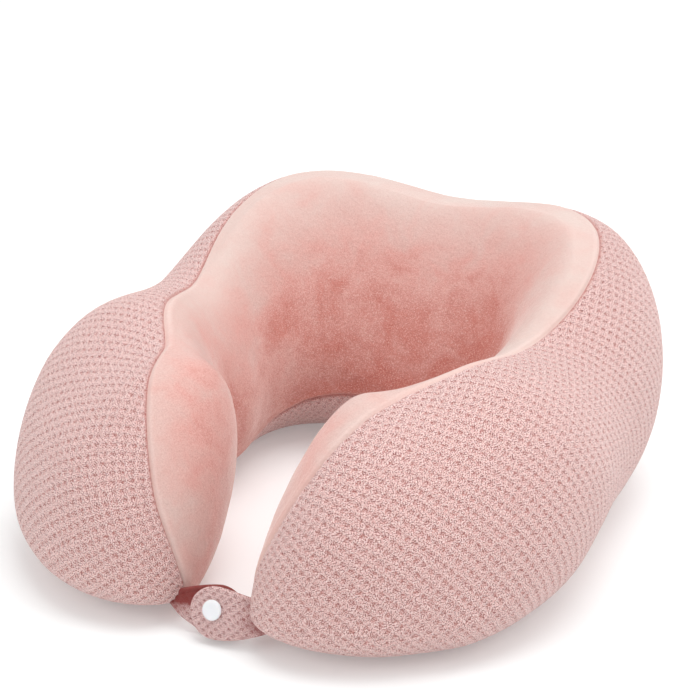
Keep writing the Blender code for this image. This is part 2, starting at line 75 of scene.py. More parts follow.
BOX_CENTRE_Y = 0.0116
PRESSED_FLAT = 0.002
SEAM_STATIONS = (0, 38, 72, 105, 130, 150, 163, 171)
UPPER_SEAM = (0.447, 0.460, 0.487, 0.530, 0.508, 0.456, 0.410, 0.380)
LOWER_SEAM = (0.775, 0.825, 0.87, 0.90, 0.92, 0.94, 0.96, 0.98)

# The zip and its slot, and where the base seam ends

ZIP_HEIGHT = 0.030
ZIP_HALF_ANGLE = 13.0
ZIP_PROBE = 24.0
ZIP_HALF_SLOT = 0.004
SLOT_ROOM = 0.5
SLOT_TAPER = 1.5
BASE_SEAM_END = 55.0

# The fine grid

ROW_STEP = 0.92 * MM
PLUSH_STEP = 0.90 * MM
SIDE_STEP = 0.90 * MM
BASE_STEP = 1.5 * MM
CLOTH_ROWS = 111
CLOTH_COLUMNS = 27
ARM_SAMPLES = 1500
TIP_SAMPLES = 1200
CLOTH_BEYOND = 40
CLOTH_END_TIP = 0.12
SEAM_REACH = 4.0 * MM
SEAM_STEP = 0.42 * MM

# Seams, slack and waves: depths, widths and places in mm

SEAM_DEPTH = 1.20
PLUSH_SEAM_WIDTH = 1.15
KNIT_SEAM_WIDTH = 0.95
LIP_HEIGHT = 0.45
LIP_PLACE = 3.4
LIP_WIDTH = 2.6
SLACK = 0.55
SLACK_SIZE = 42 * MM
PUCKER_SIZE = 9 * MM
PLUSH_WAVE = 0.20
PLUSH_WAVE_SIZE = 12 * MM
SLOT_LIP_DEPTH = 1.9
BASE_SEAM_DEPTH = 0.9
STITCH_DEPTH = 0.25
STITCH_PLACE = 2.6
FLECK_PLANE = 20.0

# Waffle: lengths in mm, and the turn of its grain towards the tips in degrees

KNIT_PITCH = (4.15, 5.20)
KNIT_TURN = 45.0
KNIT_DEPTH = 0.55
YARN_PITCH = 1.05
PIT_HALF_WIDTH = 1.55
PIT_HALF_HEIGHT = 1.30
PIT_TAPER = 0.18
PIT_BOW = 0.16
PIT_EDGE = 1.35
PIT_FADE = 0.9
GRAIN_START = 98.0
GRAIN_END = 165.0
GRAIN_TURN = 40.0
GRAIN_PIVOT = 0.78

# Foam, tabs, snap and zip: metres, with the tabs' outline and knit in mm

FOAM_COLUMNS = 120
FOAM_DEPTH = 0.0036
FOAM_STEP = 3.2 * MM
FOAM_END_TIP = 0.10
FOAM_ZIP_DEPTH = 0.0018
FOAM_ZIP_HALF = 0.008
TAB_CENTRE = Vector((0.0027, -0.1411, 0.0141))
TAB_LEAN = math.radians(22)
TAB_THICKNESS = 0.0020
TAB_ROUND_SHARE = 0.45
TAB_NARROWING = {1: (8.0, 3.0), -1: (11.0, 8.0)}
TAB_KNIT_SCALE = 1.5
TAB_ROLL = 1.3
TAB_HALF = 13.0
TAB_BEND = 1.0
TAB_TUCK = 27.0
TAB_CURL = 1.4
TAB_SOFT_HALF = 1.15
SNAP_RADIUS = 0.0048
STUD_RADIUS = 0.0026
SNAP_CLEARANCE = 0.0004
SOCKET_HEIGHT = 0.0022
STUD_BASE = 0.0008
STUD_HEIGHT = 0.0018
POST_RADIUS = 0.0011
POST_LENGTH = 0.0025
CAP_SHOULDER = 0.0011
SNAP_SIDES = 72
SNAP_EDGE = 0.0003
MESH_GAP = 0.00015
TAPE_THICKNESS = 0.0007
TAPE_COLUMNS = 14
TAPE_UNDER_COVER = 0.0012
TAPE_SAG = 0.0012
TAPE_DIP = 0.0030
TAPE_PAST_END = 1.2
COIL_PITCH = 0.0014
COIL_STEPS = 14
COIL_SIDES = 7
COIL_NEAR = 0.00005
COIL_FAR = 0.0019
COIL_LOW = 0.0006
COIL_RISE = 0.0009
COIL_THREAD = 0.00030

# Colours

# The pale plush colour is painted light on the ridge, and the deep one is painted shade in the
# hollow.
PLUSH_DEEP_SHADE = (0.555, 0.170, 0.133)
PLUSH_ROSE = (0.690, 0.360, 0.320)
PLUSH_PALE_LIT = (0.670, 0.525, 0.480)
# This colour serves both the pile's pale flecks and a painted sheen along the upper seam.
PLUSH_FLECK_AND_SHEEN = (0.860, 0.665, 0.610)
PLUSH_SHADE = (0.420, 0.200, 0.175)
# The knit's and tabs' darkest colours are painted shade in the pits, seams and folds.
KNIT_PALE = (0.900, 0.660, 0.630)
KNIT_MIDDLE = (0.720, 0.400, 0.370)
KNIT_PAINTED_SHADE = (0.470, 0.165, 0.140)
SPARK_PALE = (0.940, 0.790, 0.765)
SPARK_DARK = (0.200, 0.045, 0.045)
TAB_PALE = (0.920, 0.740, 0.720)
TAB_MIDDLE = (0.780, 0.460, 0.440)
TAB_PAINTED_SHADE = (0.260, 0.035, 0.030)

# Camera, world, floor and lamps

CAMERA_AZIMUTH = 26.22
CAMERA_ELEVATION = 23.31
CAMERA_DISTANCE = 1.261
CAMERA_AIM = Vector((0.0073, -0.0142, 0.0941))
CAMERA_LENS = 134.8
WORLD_STRENGTH = 0.72
FLOOR_SIZE = 4.0
FLOOR_COLOURS = ((0.80, 0.82, 0.82), (0.82, 0.84, 0.84))
FLOOR_GLOW = 0.23
LAMP_AIM = Vector((0, 0, 0.05))
# Each lamp's name, place, width and power
LAMPS = (
    ("overhead", (0.15, 0.25, 1.5), 1.2, 14.0),
    ("side", (1.2, 0.2, 1.0), 0.9, 4.0),
    ("front", (-0.8, -1.3, 0.9), 0.9, 4.0),
)


# The skin surface


def curve_through(stations, values, angle):
    """Cubic spline through the stations, level at both ends and the same left and right."""
    s = np.array(stations, float)
    v = np.array(values, float)
    h = np.diff(s)
    system = np.eye(len(s))
    right = np.zeros(len(s))
    for i in range(1, len(s) - 1):
        system[i, i - 1 : i + 2] = 1 / h[i - 1], 2 / h[i - 1] + 2 / h[i], 1 / h[i]
        right[i] = 3 * (v[i] - v[i - 1]) / h[i - 1] ** 2 + 3 * (v[i + 1] - v[i]) / h[i] ** 2
    slope = np.linalg.solve(system, right)
    a = np.clip(np.abs(angle), s[0], s[-1])
    i = np.clip(np.searchsorted(s, a, side="right") - 1, 0, len(s) - 2)
    u = (a - s[i]) / h[i]
    rise = u * u * (3 - 2 * u)
    bend = h[i] * (u * (1 - u) ** 2 * slope[i] - u * u * (1 - u) * slope[i + 1])
    return v[i] * (1 - rise) + v[i + 1] * rise + bend


def skin(angle, turn, tip):
    """Points of the skin for arrays of angle, turn and tip share that broadcast together."""
    angle, turn, tip = np.broadcast_arrays(angle, turn, tip)
    inner, width, top, top_share, inner_share, outer_share = (
        curve_through(STATIONS, values, angle)
        for values in (
            INNER_RADIUS,
            WALL_WIDTH,
            TOP_HEIGHT,
            TOP_SHARE,
            INNER_HEIGHT_SHARE,
            OUTER_HEIGHT_SHARE,
        )
    )
    ridge = inner + width * top_share
    inner_height = top * inner_share
    outer_height = top * outer_share
    inner_top = curve_through(FULLNESS_STATIONS, INNER_TOP_FULLNESS, angle)
    outer_top = curve_through(FULLNESS_STATIONS, OUTER_TOP_FULLNESS, angle)
    outer = inner + width
    middle = inner + width / 2
    part = np.mod(turn, 1) * 4
    quarter = np.floor(part).astype(int)
    swing = (part - quarter) * math.pi / 2
    c = np.abs(np.cos(swing))
    s = np.abs(np.sin(swing))
    lower_out = 2 / OUTER_BOTTOM_FULLNESS
    lower_in = 2 / INNER_BOTTOM_FULLNESS
    radius = np.choose(
        quarter,
        (
            middle + (outer - middle) * s**lower_out,
            ridge + (outer - ridge) * c ** (2 / outer_top),
            ridge - (ridge - inner) * s ** (2 / inner_top),
            middle - (middle - inner) * c**lower_in,
        ),
    )
    height = np.choose(
        quarter,
        (
            outer_height * (1 - c**lower_out),
            outer_height + (top - outer_height) * s ** (2 / outer_top),
            inner_height + (top - inner_height) * c ** (2 / inner_top),
            inner_height * (1 - s**lower_in),
        ),
    )
    centre_radius = inner + TIP_CENTRE_SHARE[0] * width
    centre_height = TIP_CENTRE_SHARE[1] * top
    radius = centre_radius + (radius - centre_radius) * tip
    height = centre_height + (height - centre_height) * tip
    height = np.maximum(height - PRESSED_FLAT, 0)
    a = np.radians(angle)
    return np.stack([radius * np.sin(a), radius * np.cos(a) - BOX_CENTRE_Y, height], -1)


def turn_at_height(angle, height):
    """Turn on the lower outer quarter where the skin stands at a height."""
    top = curve_through(STATIONS, TOP_HEIGHT, angle)
    outer_height = top * curve_through(STATIONS, OUTER_HEIGHT_SHARE, angle)
    share = np.clip((height + PRESSED_FLAT) / outer_height, 0, 0.97)
    return np.arccos((1 - share) ** (OUTER_BOTTOM_FULLNESS / 2)) / (2 * math.pi)


def zip_arc():
    """Centre (on the Y axis) and radius of the level arc that the zip follows on the skin."""
    middle, side = (skin(a, turn_at_height(a, ZIP_HEIGHT), 1.0) for a in (0.0, ZIP_PROBE))
    drop = middle[1] - side[1]
    radius = (side[0] ** 2 + drop**2) / (2 * drop)
    return middle[1] - radius, radius


def zip_end_angle():
    """Angle from the neck axis at which the zip's arc ends."""
    centre, radius = zip_arc()
    swing = math.radians(ZIP_HALF_ANGLE)
    back = centre + radius * math.cos(swing) + BOX_CENTRE_Y
    return math.degrees(math.atan2(radius * math.sin(swing), back))


def even_rows(step):
    """Angles and tip shares from tip to tip, no further apart than a step anywhere on the skin."""
    swing = np.linspace(0, math.pi / 2, TIP_SAMPLES)[1:]
    past = np.sin(swing) ** (2 / TIP_FULLNESS)
    arm = np.linspace(0, TIP_START, ARM_SAMPLES)
    angle = np.concatenate([arm, TIP_START + (TIP_END - TIP_START) * past])
    tip = np.concatenate([np.ones(ARM_SAMPLES), np.cos(swing) ** (2 / TIP_FULLNESS)])
    tip[-1] = 0
    probes = np.array([0.08, 0.16, 0.25, 0.34, 0.42, 0.5, 0.6])
    lines = skin(angle[:, None], probes[None], tip[:, None])
    moved = np.linalg.norm(np.diff(lines, axis=0), axis=-1).max(1)
    run = np.concatenate([[0], np.cumsum(moved)])
    count = int(run[-1] / step)
    at = np.linspace(0, run[-1], count + 1)
    where = np.interp(at, run, np.arange(len(run)))
    low = np.minimum(where.astype(int), len(angle) - 2)
    share = where - low
    half_angle = angle[low] * (1 - share) + angle[low + 1] * share
    half_tip = tip[low] * (1 - share) + tip[low + 1] * share
    return (
        np.concatenate([-half_angle[:0:-1], half_angle]),
        np.concatenate([half_tip[:0:-1], half_tip]),
    )


def even_columns(turn_from, turn_to, step, rows):
    """Shares across a panel, a step apart on a middling section and closer beside its seams."""
    angle, tip = rows
    picked = np.flatnonzero(tip > 0.9)[::20]
    share = np.linspace(0, 1, 400)
    turns = turn_from[picked, None] + (turn_to - turn_from)[picked, None] * share
    line = skin(angle[picked, None], turns, 1.0)
    run = np.linalg.norm(np.diff(line, axis=1), axis=-1).mean(0)
    run = np.concatenate([[0], np.cumsum(run)])
    stops = [0.0]
    while stops[-1] < run[-1]:
        near_seam = min(stops[-1], run[-1] - stops[-1]) < SEAM_REACH
        stops.append(stops[-1] + (SEAM_STEP if near_seam else step))
    stops = np.array(stops) * run[-1] / stops[-1]
    return np.interp(stops, run, share)


# The fine grid of the whole cover, and what shapes it


def slot_opening(angle):
    """How far the zip's slot is open at each angle: 1 along the zip, 0 past its ends."""
    past = np.abs(angle) - zip_end_angle() - SLOT_ROOM
    return np.clip(1 - past / SLOT_TAPER, 0, 1)


def halves(count):
    """Side, label and rows of the right and left half, which share the middle row."""
    middle = count // 2
    return (1, "right", slice(middle, None)), (-1, "left", slice(0, middle + 1))


def ring_turns(rows):
    """Turns of the cover's three panels, each an array of rows by columns from seam to seam."""
    angle = rows[0]
    upper = curve_through(SEAM_STATIONS, UPPER_SEAM, angle)
    lower = curve_through(SEAM_STATIONS, LOWER_SEAM, angle)
    half = ZIP_HALF_SLOT * slot_opening(angle)
    slot_low = turn_at_height(angle, ZIP_HEIGHT - half)
    slot_high = turn_at_height(angle, ZIP_HEIGHT + half)
    panels = {}
    for name, first, last, step in (
        ("plush", upper, lower, PLUSH_STEP),
        ("base", lower - 1, slot_low, BASE_STEP),
        ("side", slot_high, upper, SIDE_STEP),
    ):
        share = even_columns(first, last, step, rows)
        panels[name] = first[:, None] + (last - first)[:, None] * share[None]
    return panels


def cloth_map(rows, panels):
    """Flat coordinates, in mm, of the knit's fabric at every point of the base and side panels.

    A coarse grid of the whole knit is flattened as a cutter would, and the fine points read it.
    """
    angle, tip = rows
    first = panels["base"][:, 0]
    last = panels["side"][:, -1]
    usable = np.flatnonzero(tip > CLOTH_END_TIP)
    row_at = np.linspace(usable[0], usable[-1], CLOTH_ROWS).round().astype(int)
    share = np.linspace(0, 1, CLOTH_COLUMNS)
    turns = first[row_at, None] + (last - first)[row_at, None] * share
    points = skin(angle[row_at, None], turns, tip[row_at, None])
    flat = turn_grain(flatten(points), angle[row_at])
    row_place = np.clip(
        np.arange(len(angle)), row_at[0] - CLOTH_BEYOND, row_at[-1] + CLOTH_BEYOND
    )
    row_place = interp_beyond(row_place, row_at)
    maps = {}
    for name in ("base", "side"):
        across = (panels[name] - first[:, None]) / (last - first)[:, None] * (CLOTH_COLUMNS - 1)
        maps[name] = cubic_read(flat, row_place[:, None] + 0 * across, across)
        # The two arms' panels are cut as mirror images of each other.
        maps[name][..., 0] *= np.sign(angle)[:, None]
    return maps


def turn_grain(flat, angle):
    """The fabric with its grain turned towards the tips, each line across the panel moved whole."""
    part = np.clip((np.abs(angle) - GRAIN_START) / (GRAIN_END - GRAIN_START), 0, 1)
    turn = np.sign(angle) * np.radians(GRAIN_TURN) * part
    c, s = np.cos(turn), np.sin(turn)
    wheel = np.stack([np.stack([c, s], -1), np.stack([-s, c], -1)], -2)
    centre = flat[:, int(flat.shape[1] * GRAIN_PIVOT)]
    step = np.einsum("ri,rij->rj", np.diff(centre, axis=0), (wheel[1:] + wheel[:-1]) / 2)
    run = np.concatenate([np.zeros((1, 2)), np.cumsum(step, axis=0)])
    middle = len(flat) // 2
    run += centre[middle] - run[middle]
    return np.einsum("rci,rij->rcj", flat - centre[:, None], wheel) + run[:, None]


def interp_beyond(at, stops):
    """Place of each number among the stops, carried on straight past both ends."""
    place = np.interp(at, stops, np.arange(len(stops)))
    low = at < stops[0]
    high = at > stops[-1]
    place = np.where(low, (at - stops[0]) / (stops[1] - stops[0]), place)
    end = len(stops) - 1
    return np.where(high, end + (at - stops[-1]) / (stops[-1] - stops[-2]), place)


def flatten(points):
    """Flat coordinates in mm of a grid of points in space, with as little stretch as can be."""
    rows, columns = points.shape[:2]
    index = np.arange(rows * columns).reshape(rows, columns)
    quads = np.stack([index[:-1, :-1], index[:-1, 1:], index[1:, 1:], index[1:, :-1]], -1)
    mesh = bpy.data.meshes.new("cloth")
    mesh.from_pydata(points.reshape(-1, 3).tolist(), [], quads.reshape(-1, 4).tolist())
    mesh.uv_layers.new(name="flat")
    thing = new_object("cloth", mesh)
    bpy.context.view_layer.objects.active = thing
    thing.select_set(True)
    bpy.ops.object.mode_set(mode="EDIT")
    bpy.ops.mesh.select_all(action="SELECT")
    bpy.ops.uv.unwrap(method="MINIMUM_STRETCH", fill_holes=False, margin=0.0, iterations=40)
    bpy.ops.object.mode_set(mode="OBJECT")
    read = np.zeros(len(mesh.loops) * 2, np.float32)
    mesh.uv_layers["flat"].data.foreach_get("uv", read)
    corner = np.zeros(len(mesh.loops), np.int32)
    mesh.loops.foreach_get("vertex_index", corner)
    flat = np.zeros((rows * columns, 2))
    flat[corner] = read.reshape(-1, 2)
    flat = flat.reshape(rows, columns, 2)
    bpy.data.objects.remove(thing)
    bpy.data.meshes.remove(mesh)
    real = np.linalg.norm(np.diff(points, axis=1), axis=-1)
    drawn = np.linalg.norm(np.diff(flat, axis=1), axis=-1)
    flat *= np.median(real / drawn) / MM
    # The fabric's length runs along the cover at the middle of the back, its height up the wall.
    middle = rows // 2
    centre = flat[middle, columns // 2]
    up = flat[middle, columns // 2 + 4] - flat[middle, columns // 2 - 4]
    along = flat[middle + 3, columns // 2] - flat[middle - 3, columns // 2]
    turn = math.atan2(up[0], up[1])
    c, s = math.cos(turn), math.sin(turn)
    wheel = np.array([[c, s], [-s, c]])
    flat = (flat - centre) @ wheel
    flat[..., 0] *= np.sign((along @ wheel)[0])
    return flat


def cubic_read(table, row, column):
    """Smooth reading of a grid of values at fractional places, one row and column per point."""
    out = 0
    count_rows, count_columns = table.shape[:2]
    row0 = np.clip(np.floor(row).astype(int), 0, count_rows - 2)
    column0 = np.clip(np.floor(column).astype(int), 0, count_columns - 2)
    x = row - row0
    y = column - column0
    for i, a in enumerate(cubic_weights(x)):
        r = row0 + i - 1
        for j, b in enumerate(cubic_weights(y)):
            c = column0 + j - 1
            out = out + (a * b)[..., None] * edge_read(table, r, c)
    return out


def cubic_weights(x):
    """Catmull-Rom weights of the four values around a place."""
    return (
        ((-0.5 * x + 1) * x - 0.5) * x,
        (1.5 * x - 2.5) * x * x + 1,
        ((-1.5 * x + 2) * x + 0.5) * x,
        (0.5 * x - 0.5) * x * x,
    )


def edge_read(table, row, column):
    """Values of a grid, carried on straight by one step outside it."""
    rows, columns = table.shape[:2]
    r = np.clip(row, 0, rows - 1)
    c = np.clip(column, 0, columns - 1)
    here = table[r, c]
    r_in = np.clip(2 * r - row, 0, rows - 1)
    c_in = np.clip(2 * c - column, 0, columns - 1)
    here = here + (here - table[r_in, c]) * (row != r)[..., None]
    return here + (here - table[r, c_in]) * (column != c)[..., None]


def smooth_noise(points, size, seed):
    """Smooth noise between about -1 and 1 at points in metres, with features of a given size."""
    shift = Vector((seed * 17.3, seed * 5.1, seed * 9.7))
    flat = (points.reshape(-1, 3) / size).tolist()
    values = [noise.fractal(Vector(p) + shift, 1.0, 2.0, 2) for p in flat]
    return np.array(values).reshape(points.shape[:-1])


def field_noise(panel_points, size, seed):
    """The same noise for a whole panel, worked out on every third row and column."""
    rows, columns = panel_points.shape[:2]
    r = np.unique(np.append(np.arange(0, rows, 3), rows - 1))
    c = np.unique(np.append(np.arange(0, columns, 3), columns - 1))
    coarse = smooth_noise(panel_points[np.ix_(r, c)], size, seed)
    wide = np.array([np.interp(np.arange(columns), c, line) for line in coarse])
    return np.array([np.interp(np.arange(rows), r, line) for line in wide.T]).T


def grid_normals(points):
    """Unit normals of a grid of points, from the lines to each side of every point.

    The end rows may meet at a point, so each has one short normal, which hardly moves it.
    """
    along = np.gradient(points, axis=0)
    around = np.gradient(points, axis=1)
    normal = np.cross(around, along)
    length = np.linalg.norm(normal, axis=-1, keepdims=True)
    normal = normal / np.maximum(length, 1e-15)
    for end, inside in ((0, 2), (-1, -3)):
        normal[end] = normal[inside].mean(0)
        normal[end] /= np.linalg.norm(normal[end])
    return normal


def run_from(points, at_end):
    """Distance in mm of each grid point from its row's first or last point, along the row."""
    step = np.linalg.norm(np.diff(points, axis=1), axis=-1) / MM
    run = np.concatenate([np.zeros((len(points), 1)), np.cumsum(step, axis=1)], axis=1)
    return run[:, -1:] - run if at_end else run


def bell(distance, width):
    """A smooth hump: 1 at no distance, and almost nothing at twice the width."""
    return np.exp(-((distance / width) ** 2))


def knit_cell(cloth):
    """Place in mm of a point of fabric within its own cell of the waffle."""
    turn = math.radians(KNIT_TURN)
    c, s = math.cos(turn), math.sin(turn)
    p = (cloth[..., 0] * c + cloth[..., 1] * s) / KNIT_PITCH[0]
    q = (-cloth[..., 0] * s + cloth[..., 1] * c) / KNIT_PITCH[1]
    p = (p - np.floor(p) - 0.5) * KNIT_PITCH[0]
    q = (q - np.floor(q) - 0.5) * KNIT_PITCH[1]
    return p * c - q * s, p * s + q * c


def knit_relief(cloth):
    """Height in mm of the waffle: an arched pit in each cell."""
    x, y = knit_cell(cloth)
    lifted = y + PIT_BOW * x * x
    reach = np.hypot(x / (PIT_HALF_WIDTH - PIT_TAPER * y), lifted / PIT_HALF_HEIGHT)
    pit = np.clip((PIT_EDGE - reach) / PIT_FADE, 0, 1)
    return -KNIT_DEPTH * pit * pit * (3 - 2 * pit)


# Meshes


def new_object(name, data):
    """An object in the scene around some data."""
    thing = bpy.data.objects.new(name, data)
    bpy.context.scene.collection.objects.link(thing)
    return thing


def grid_piece(name, points, normals, attributes, material):
    """A smooth mesh of a grid of points, with given normals and named values at its points."""
    rows, columns = points.shape[:2]
    index = np.arange(rows * columns).reshape(rows, columns)
    quads = np.stack([index[:-1, :-1], index[:-1, 1:], index[1:, 1:], index[1:, :-1]], -1)
    mesh = bpy.data.meshes.new(name)
    fill_mesh(mesh, points.reshape(-1, 3), quads.reshape(-1, 4))
    mesh.normals_split_custom_set_from_vertices(normals.reshape(-1, 3).tolist())
    for key, values in attributes.items():
        vector = values.ndim == 3
        kind = "FLOAT_VECTOR" if vector else "FLOAT"
        layer = mesh.attributes.new(key, kind, "POINT")
        layer.data.foreach_set("vector" if vector else "value", values.astype(np.float32).ravel())
    mesh.materials.append(material)
    return new_object(name, mesh)


def fill_mesh(mesh, points, quads):
    """Fills a mesh with points and four-sided faces, smooth shaded."""
    mesh.vertices.add(len(points))
    mesh.vertices.foreach_set("co", points.astype(np.float32).ravel())
    mesh.loops.add(quads.size)
    mesh.loops.foreach_set("vertex_index", quads.astype(np.int32).ravel())
    mesh.polygons.add(len(quads))
    mesh.polygons.foreach_set("loop_start", np.arange(0, quads.size, 4, dtype=np.int32))
    mesh.update(calc_edges=True)
    mesh.validate()
    mesh.shade_smooth()
    mesh.update()


def flex_blend(thing):
    """Bakes a piece's placement into its points."""
    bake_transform(thing)


def hollow_shade_share(points, from_seam, angle):
    """How far into the hollow's painted shade each plush point lies: 0 pale, 1 deep.

    The pale ridge by the upper seam is painted light. The painted shade starts 14 mm from the upper
    seam and is full 62 mm on, and sooner on the arms; lower points take more of it.
    """
    arm = np.clip((np.abs(angle[:, None]) - 80) / 40, 0, 1)
    into = np.clip((from_seam - 14 + 9 * arm) / (62 - 26 * arm), 0, 1)
    # Lower points take more painted shade.
    low = np.clip((100 - points[..., 2] / MM) / 80, 0, 1)
    return 0.10 + 0.20 * arm + (0.50 + 0.38 * low) * into * (1 - 0.55 * arm)


def build_cover(materials):
    """The plush and knit panels of the cover, in right and left halves that meet at the back."""
    rows = even_rows(ROW_STEP)
    angle, tip = rows
    panels = ring_turns(rows)
    maps = cloth_map(rows, panels)
    ground = {name: skin(angle[:, None], turns, tip[:, None]) for name, turns in panels.items()}
    outward = {name: grid_normals(points) for name, points in ground.items()}
    shaped = {}
    values = {}
    for name, points in ground.items():
        from_first = run_from(points, False)
        from_last = run_from(points, True)
        # No groove is deeper than the panel has room for, where both seams run into the tip.
        room = np.clip(np.minimum(from_first[:, -1:], 60) / 12, 0, 1)
        pucker = field_noise(points, PUCKER_SIZE, 3)
        slack = SLACK * field_noise(points, SLACK_SIZE, 1)
        depth = -SEAM_DEPTH * (1 + 0.12 * pucker) * room
        if name == "plush":
            edge = np.minimum(from_first, from_last)
            inside = np.clip(edge / 3, 0, 1)
            lift = slack + depth * bell(edge, PLUSH_SEAM_WIDTH)
            lift += LIP_HEIGHT * bell(edge - LIP_PLACE, LIP_WIDTH) * inside * room
            lift += PLUSH_WAVE * inside * field_noise(points, PLUSH_WAVE_SIZE, 2)
            values[name] = {
                "cloth": points / MM,
                "edge": from_first,
                "hollow": hollow_shade_share(points, from_first, angle),
            }
        else:
            cloth = np.concatenate([maps[name], 0 * maps[name][..., :1]], axis=-1)
            edge, slot = (from_last, from_first) if name == "side" else (from_first, from_last)
            opening = slot_opening(angle)[:, None]
            bare = np.clip((BASE_SEAM_END - np.abs(angle)) / 20, 0, 1)[:, None]
            lift = slack + depth * bell(edge, KNIT_SEAM_WIDTH)
            lift -= SLOT_LIP_DEPTH * opening * bell(slot, 0.8)
            lift -= BASE_SEAM_DEPTH * bare * bell(slot, 0.9)
            lift -= STITCH_DEPTH * bare * bell(slot - STITCH_PLACE, 0.5)
            lift += knit_relief(cloth) * np.clip(edge / 1.2, 0, 1)
            edge = np.minimum(edge, slot + 60 * (1 - np.clip(bare * 2, 0, 1)))
            values[name] = {"cloth": cloth, "edge": edge, "shade": 0 * edge}
        moved = points + outward[name] * (lift * MM)[..., None]
        moved[..., 2] = np.maximum(moved[..., 2], 0)
        shaped[name] = moved
    normals = {name: grid_normals(points) for name, points in shaped.items()}
    join = normals["base"][:, -1] + normals["side"][:, 0]
    join /= np.linalg.norm(join, axis=-1, keepdims=True)
    closed = slot_opening(angle) == 0
    normals["base"][closed, -1] = join[closed]
    normals["side"][closed, 0] = join[closed]
    names = {"plush": "plush_panel", "base": "knit_base", "side": "knit_wall"}
    for side, label, part in halves(len(angle)):
        for name, shown in names.items():
            kept = {key: v[part].copy() for key, v in values[name].items()}
            if name != "plush":
                # This number keeps the two halves' flecks from being mirror images.
                kept["cloth"][..., 2] = FLECK_PLANE * side
            thing = grid_piece(
                f"{shown}_{label}",
                shaped[name][part],
                normals[name][part],
                kept,
                materials["plush" if name == "plush" else "knit"],
            )
            flex_blend(thing)
    for name, nodes in (
        (("plush", 1), ("plush_panel_right_arm", "plush_panel_back")),
        (("plush", -1), ("plush_panel_left_arm",)),
        (("side", 1), ("mesh_panel_right_arm", "mesh_panel_back_upper")),
        (("side", -1), ("mesh_panel_left_arm",)),
        (("base", 1), ("mesh_panel_back_lower",)),
    ):
        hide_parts(*nodes)


# Materials


class Nodes:
    """Short calls for building a material's node tree."""

    def __init__(self, name):
        self.material = bpy.data.materials.new(name)
        self.material.use_nodes = True
        self.tree = self.material.node_tree
        self.shader = self.tree.nodes["Principled BSDF"]

    def add(self, kind, inputs=None, **settings):
        node = self.tree.nodes.new(kind)
        for key, value in settings.items():
            setattr(node, key, value)
        for key, value in (inputs or {}).items():
            self.put(node.inputs[key], value)
        return node

    def put(self, socket, value):
        """Links another node's output to a socket, or sets the socket to a plain value."""
        if isinstance(value, bpy.types.NodeSocket):
            self.tree.links.new(value, socket)
        else:
            socket.default_value = value

    def math(self, operation, *values, clamp=False):
        node = self.add("ShaderNodeMath", operation=operation, use_clamp=clamp)
        for socket, value in zip(node.inputs, values):
            self.put(socket, value)
        return node.outputs[0]

    def plus(self, a, b):
        return self.math("ADD", a, b)

    def minus(self, a, b):
        return self.math("SUBTRACT", a, b)

    def times(self, a, b):
        return self.math("MULTIPLY", a, b)

    def sway(self, noise_value, weight):
        """A noise taken from its middle, 0.5, and weighted."""
        return self.times(self.minus(noise_value, 0.5), weight)

    def mix(self, share, a, b):
        node = self.add("ShaderNodeMix", data_type="RGBA")
        self.put(node.inputs["Factor"], share)
        self.put(node.inputs[6], a if isinstance(a, bpy.types.NodeSocket) else (*a, 1))
        self.put(node.inputs[7], b if isinstance(b, bpy.types.NodeSocket) else (*b, 1))
        return node.outputs[2]

    def ramp(self, value, low, high, to_low=0.0, to_high=1.0, smooth=True):
        """A value taken from one range to another, held at both ends."""
        kind = "SMOOTHSTEP" if smooth else "LINEAR"
        node = self.add("ShaderNodeMapRange", interpolation_type=kind)
        for socket, number in zip(node.inputs, (value, low, high, to_low, to_high)):
            self.put(socket, number)
        return node.outputs[0]

    def noise(self, vector, scale, detail=2.0, roughness=0.5, distortion=0.0):
        inputs = {"Vector": vector, "Scale": scale, "Detail": detail}
        inputs.update(Roughness=roughness, Distortion=distortion)
        return self.add("ShaderNodeTexNoise", inputs).outputs[0]

    def read(self, name, output="Fac"):
        """A named value of the mesh's points."""
        return self.add("ShaderNodeAttribute", attribute_name=name).outputs[output]

    def bump(self, height, distance, strength):
        inputs = {"Height": height, "Distance": distance, "Strength": strength}
        return self.add("ShaderNodeBump", inputs).outputs[0]

    def finish(self, color, roughness, normal=None, **others):
        """The finished material; the other inputs' names have _ for each space."""
        self.put(self.shader.inputs["Base Color"], color)
        self.put(self.shader.inputs["Roughness"], roughness)
        if normal is not None:
            self.put(self.shader.inputs["Normal"], normal)
        for key, value in others.items():
            self.put(self.shader.inputs[key.replace("_", " ")], value)
        return self.material


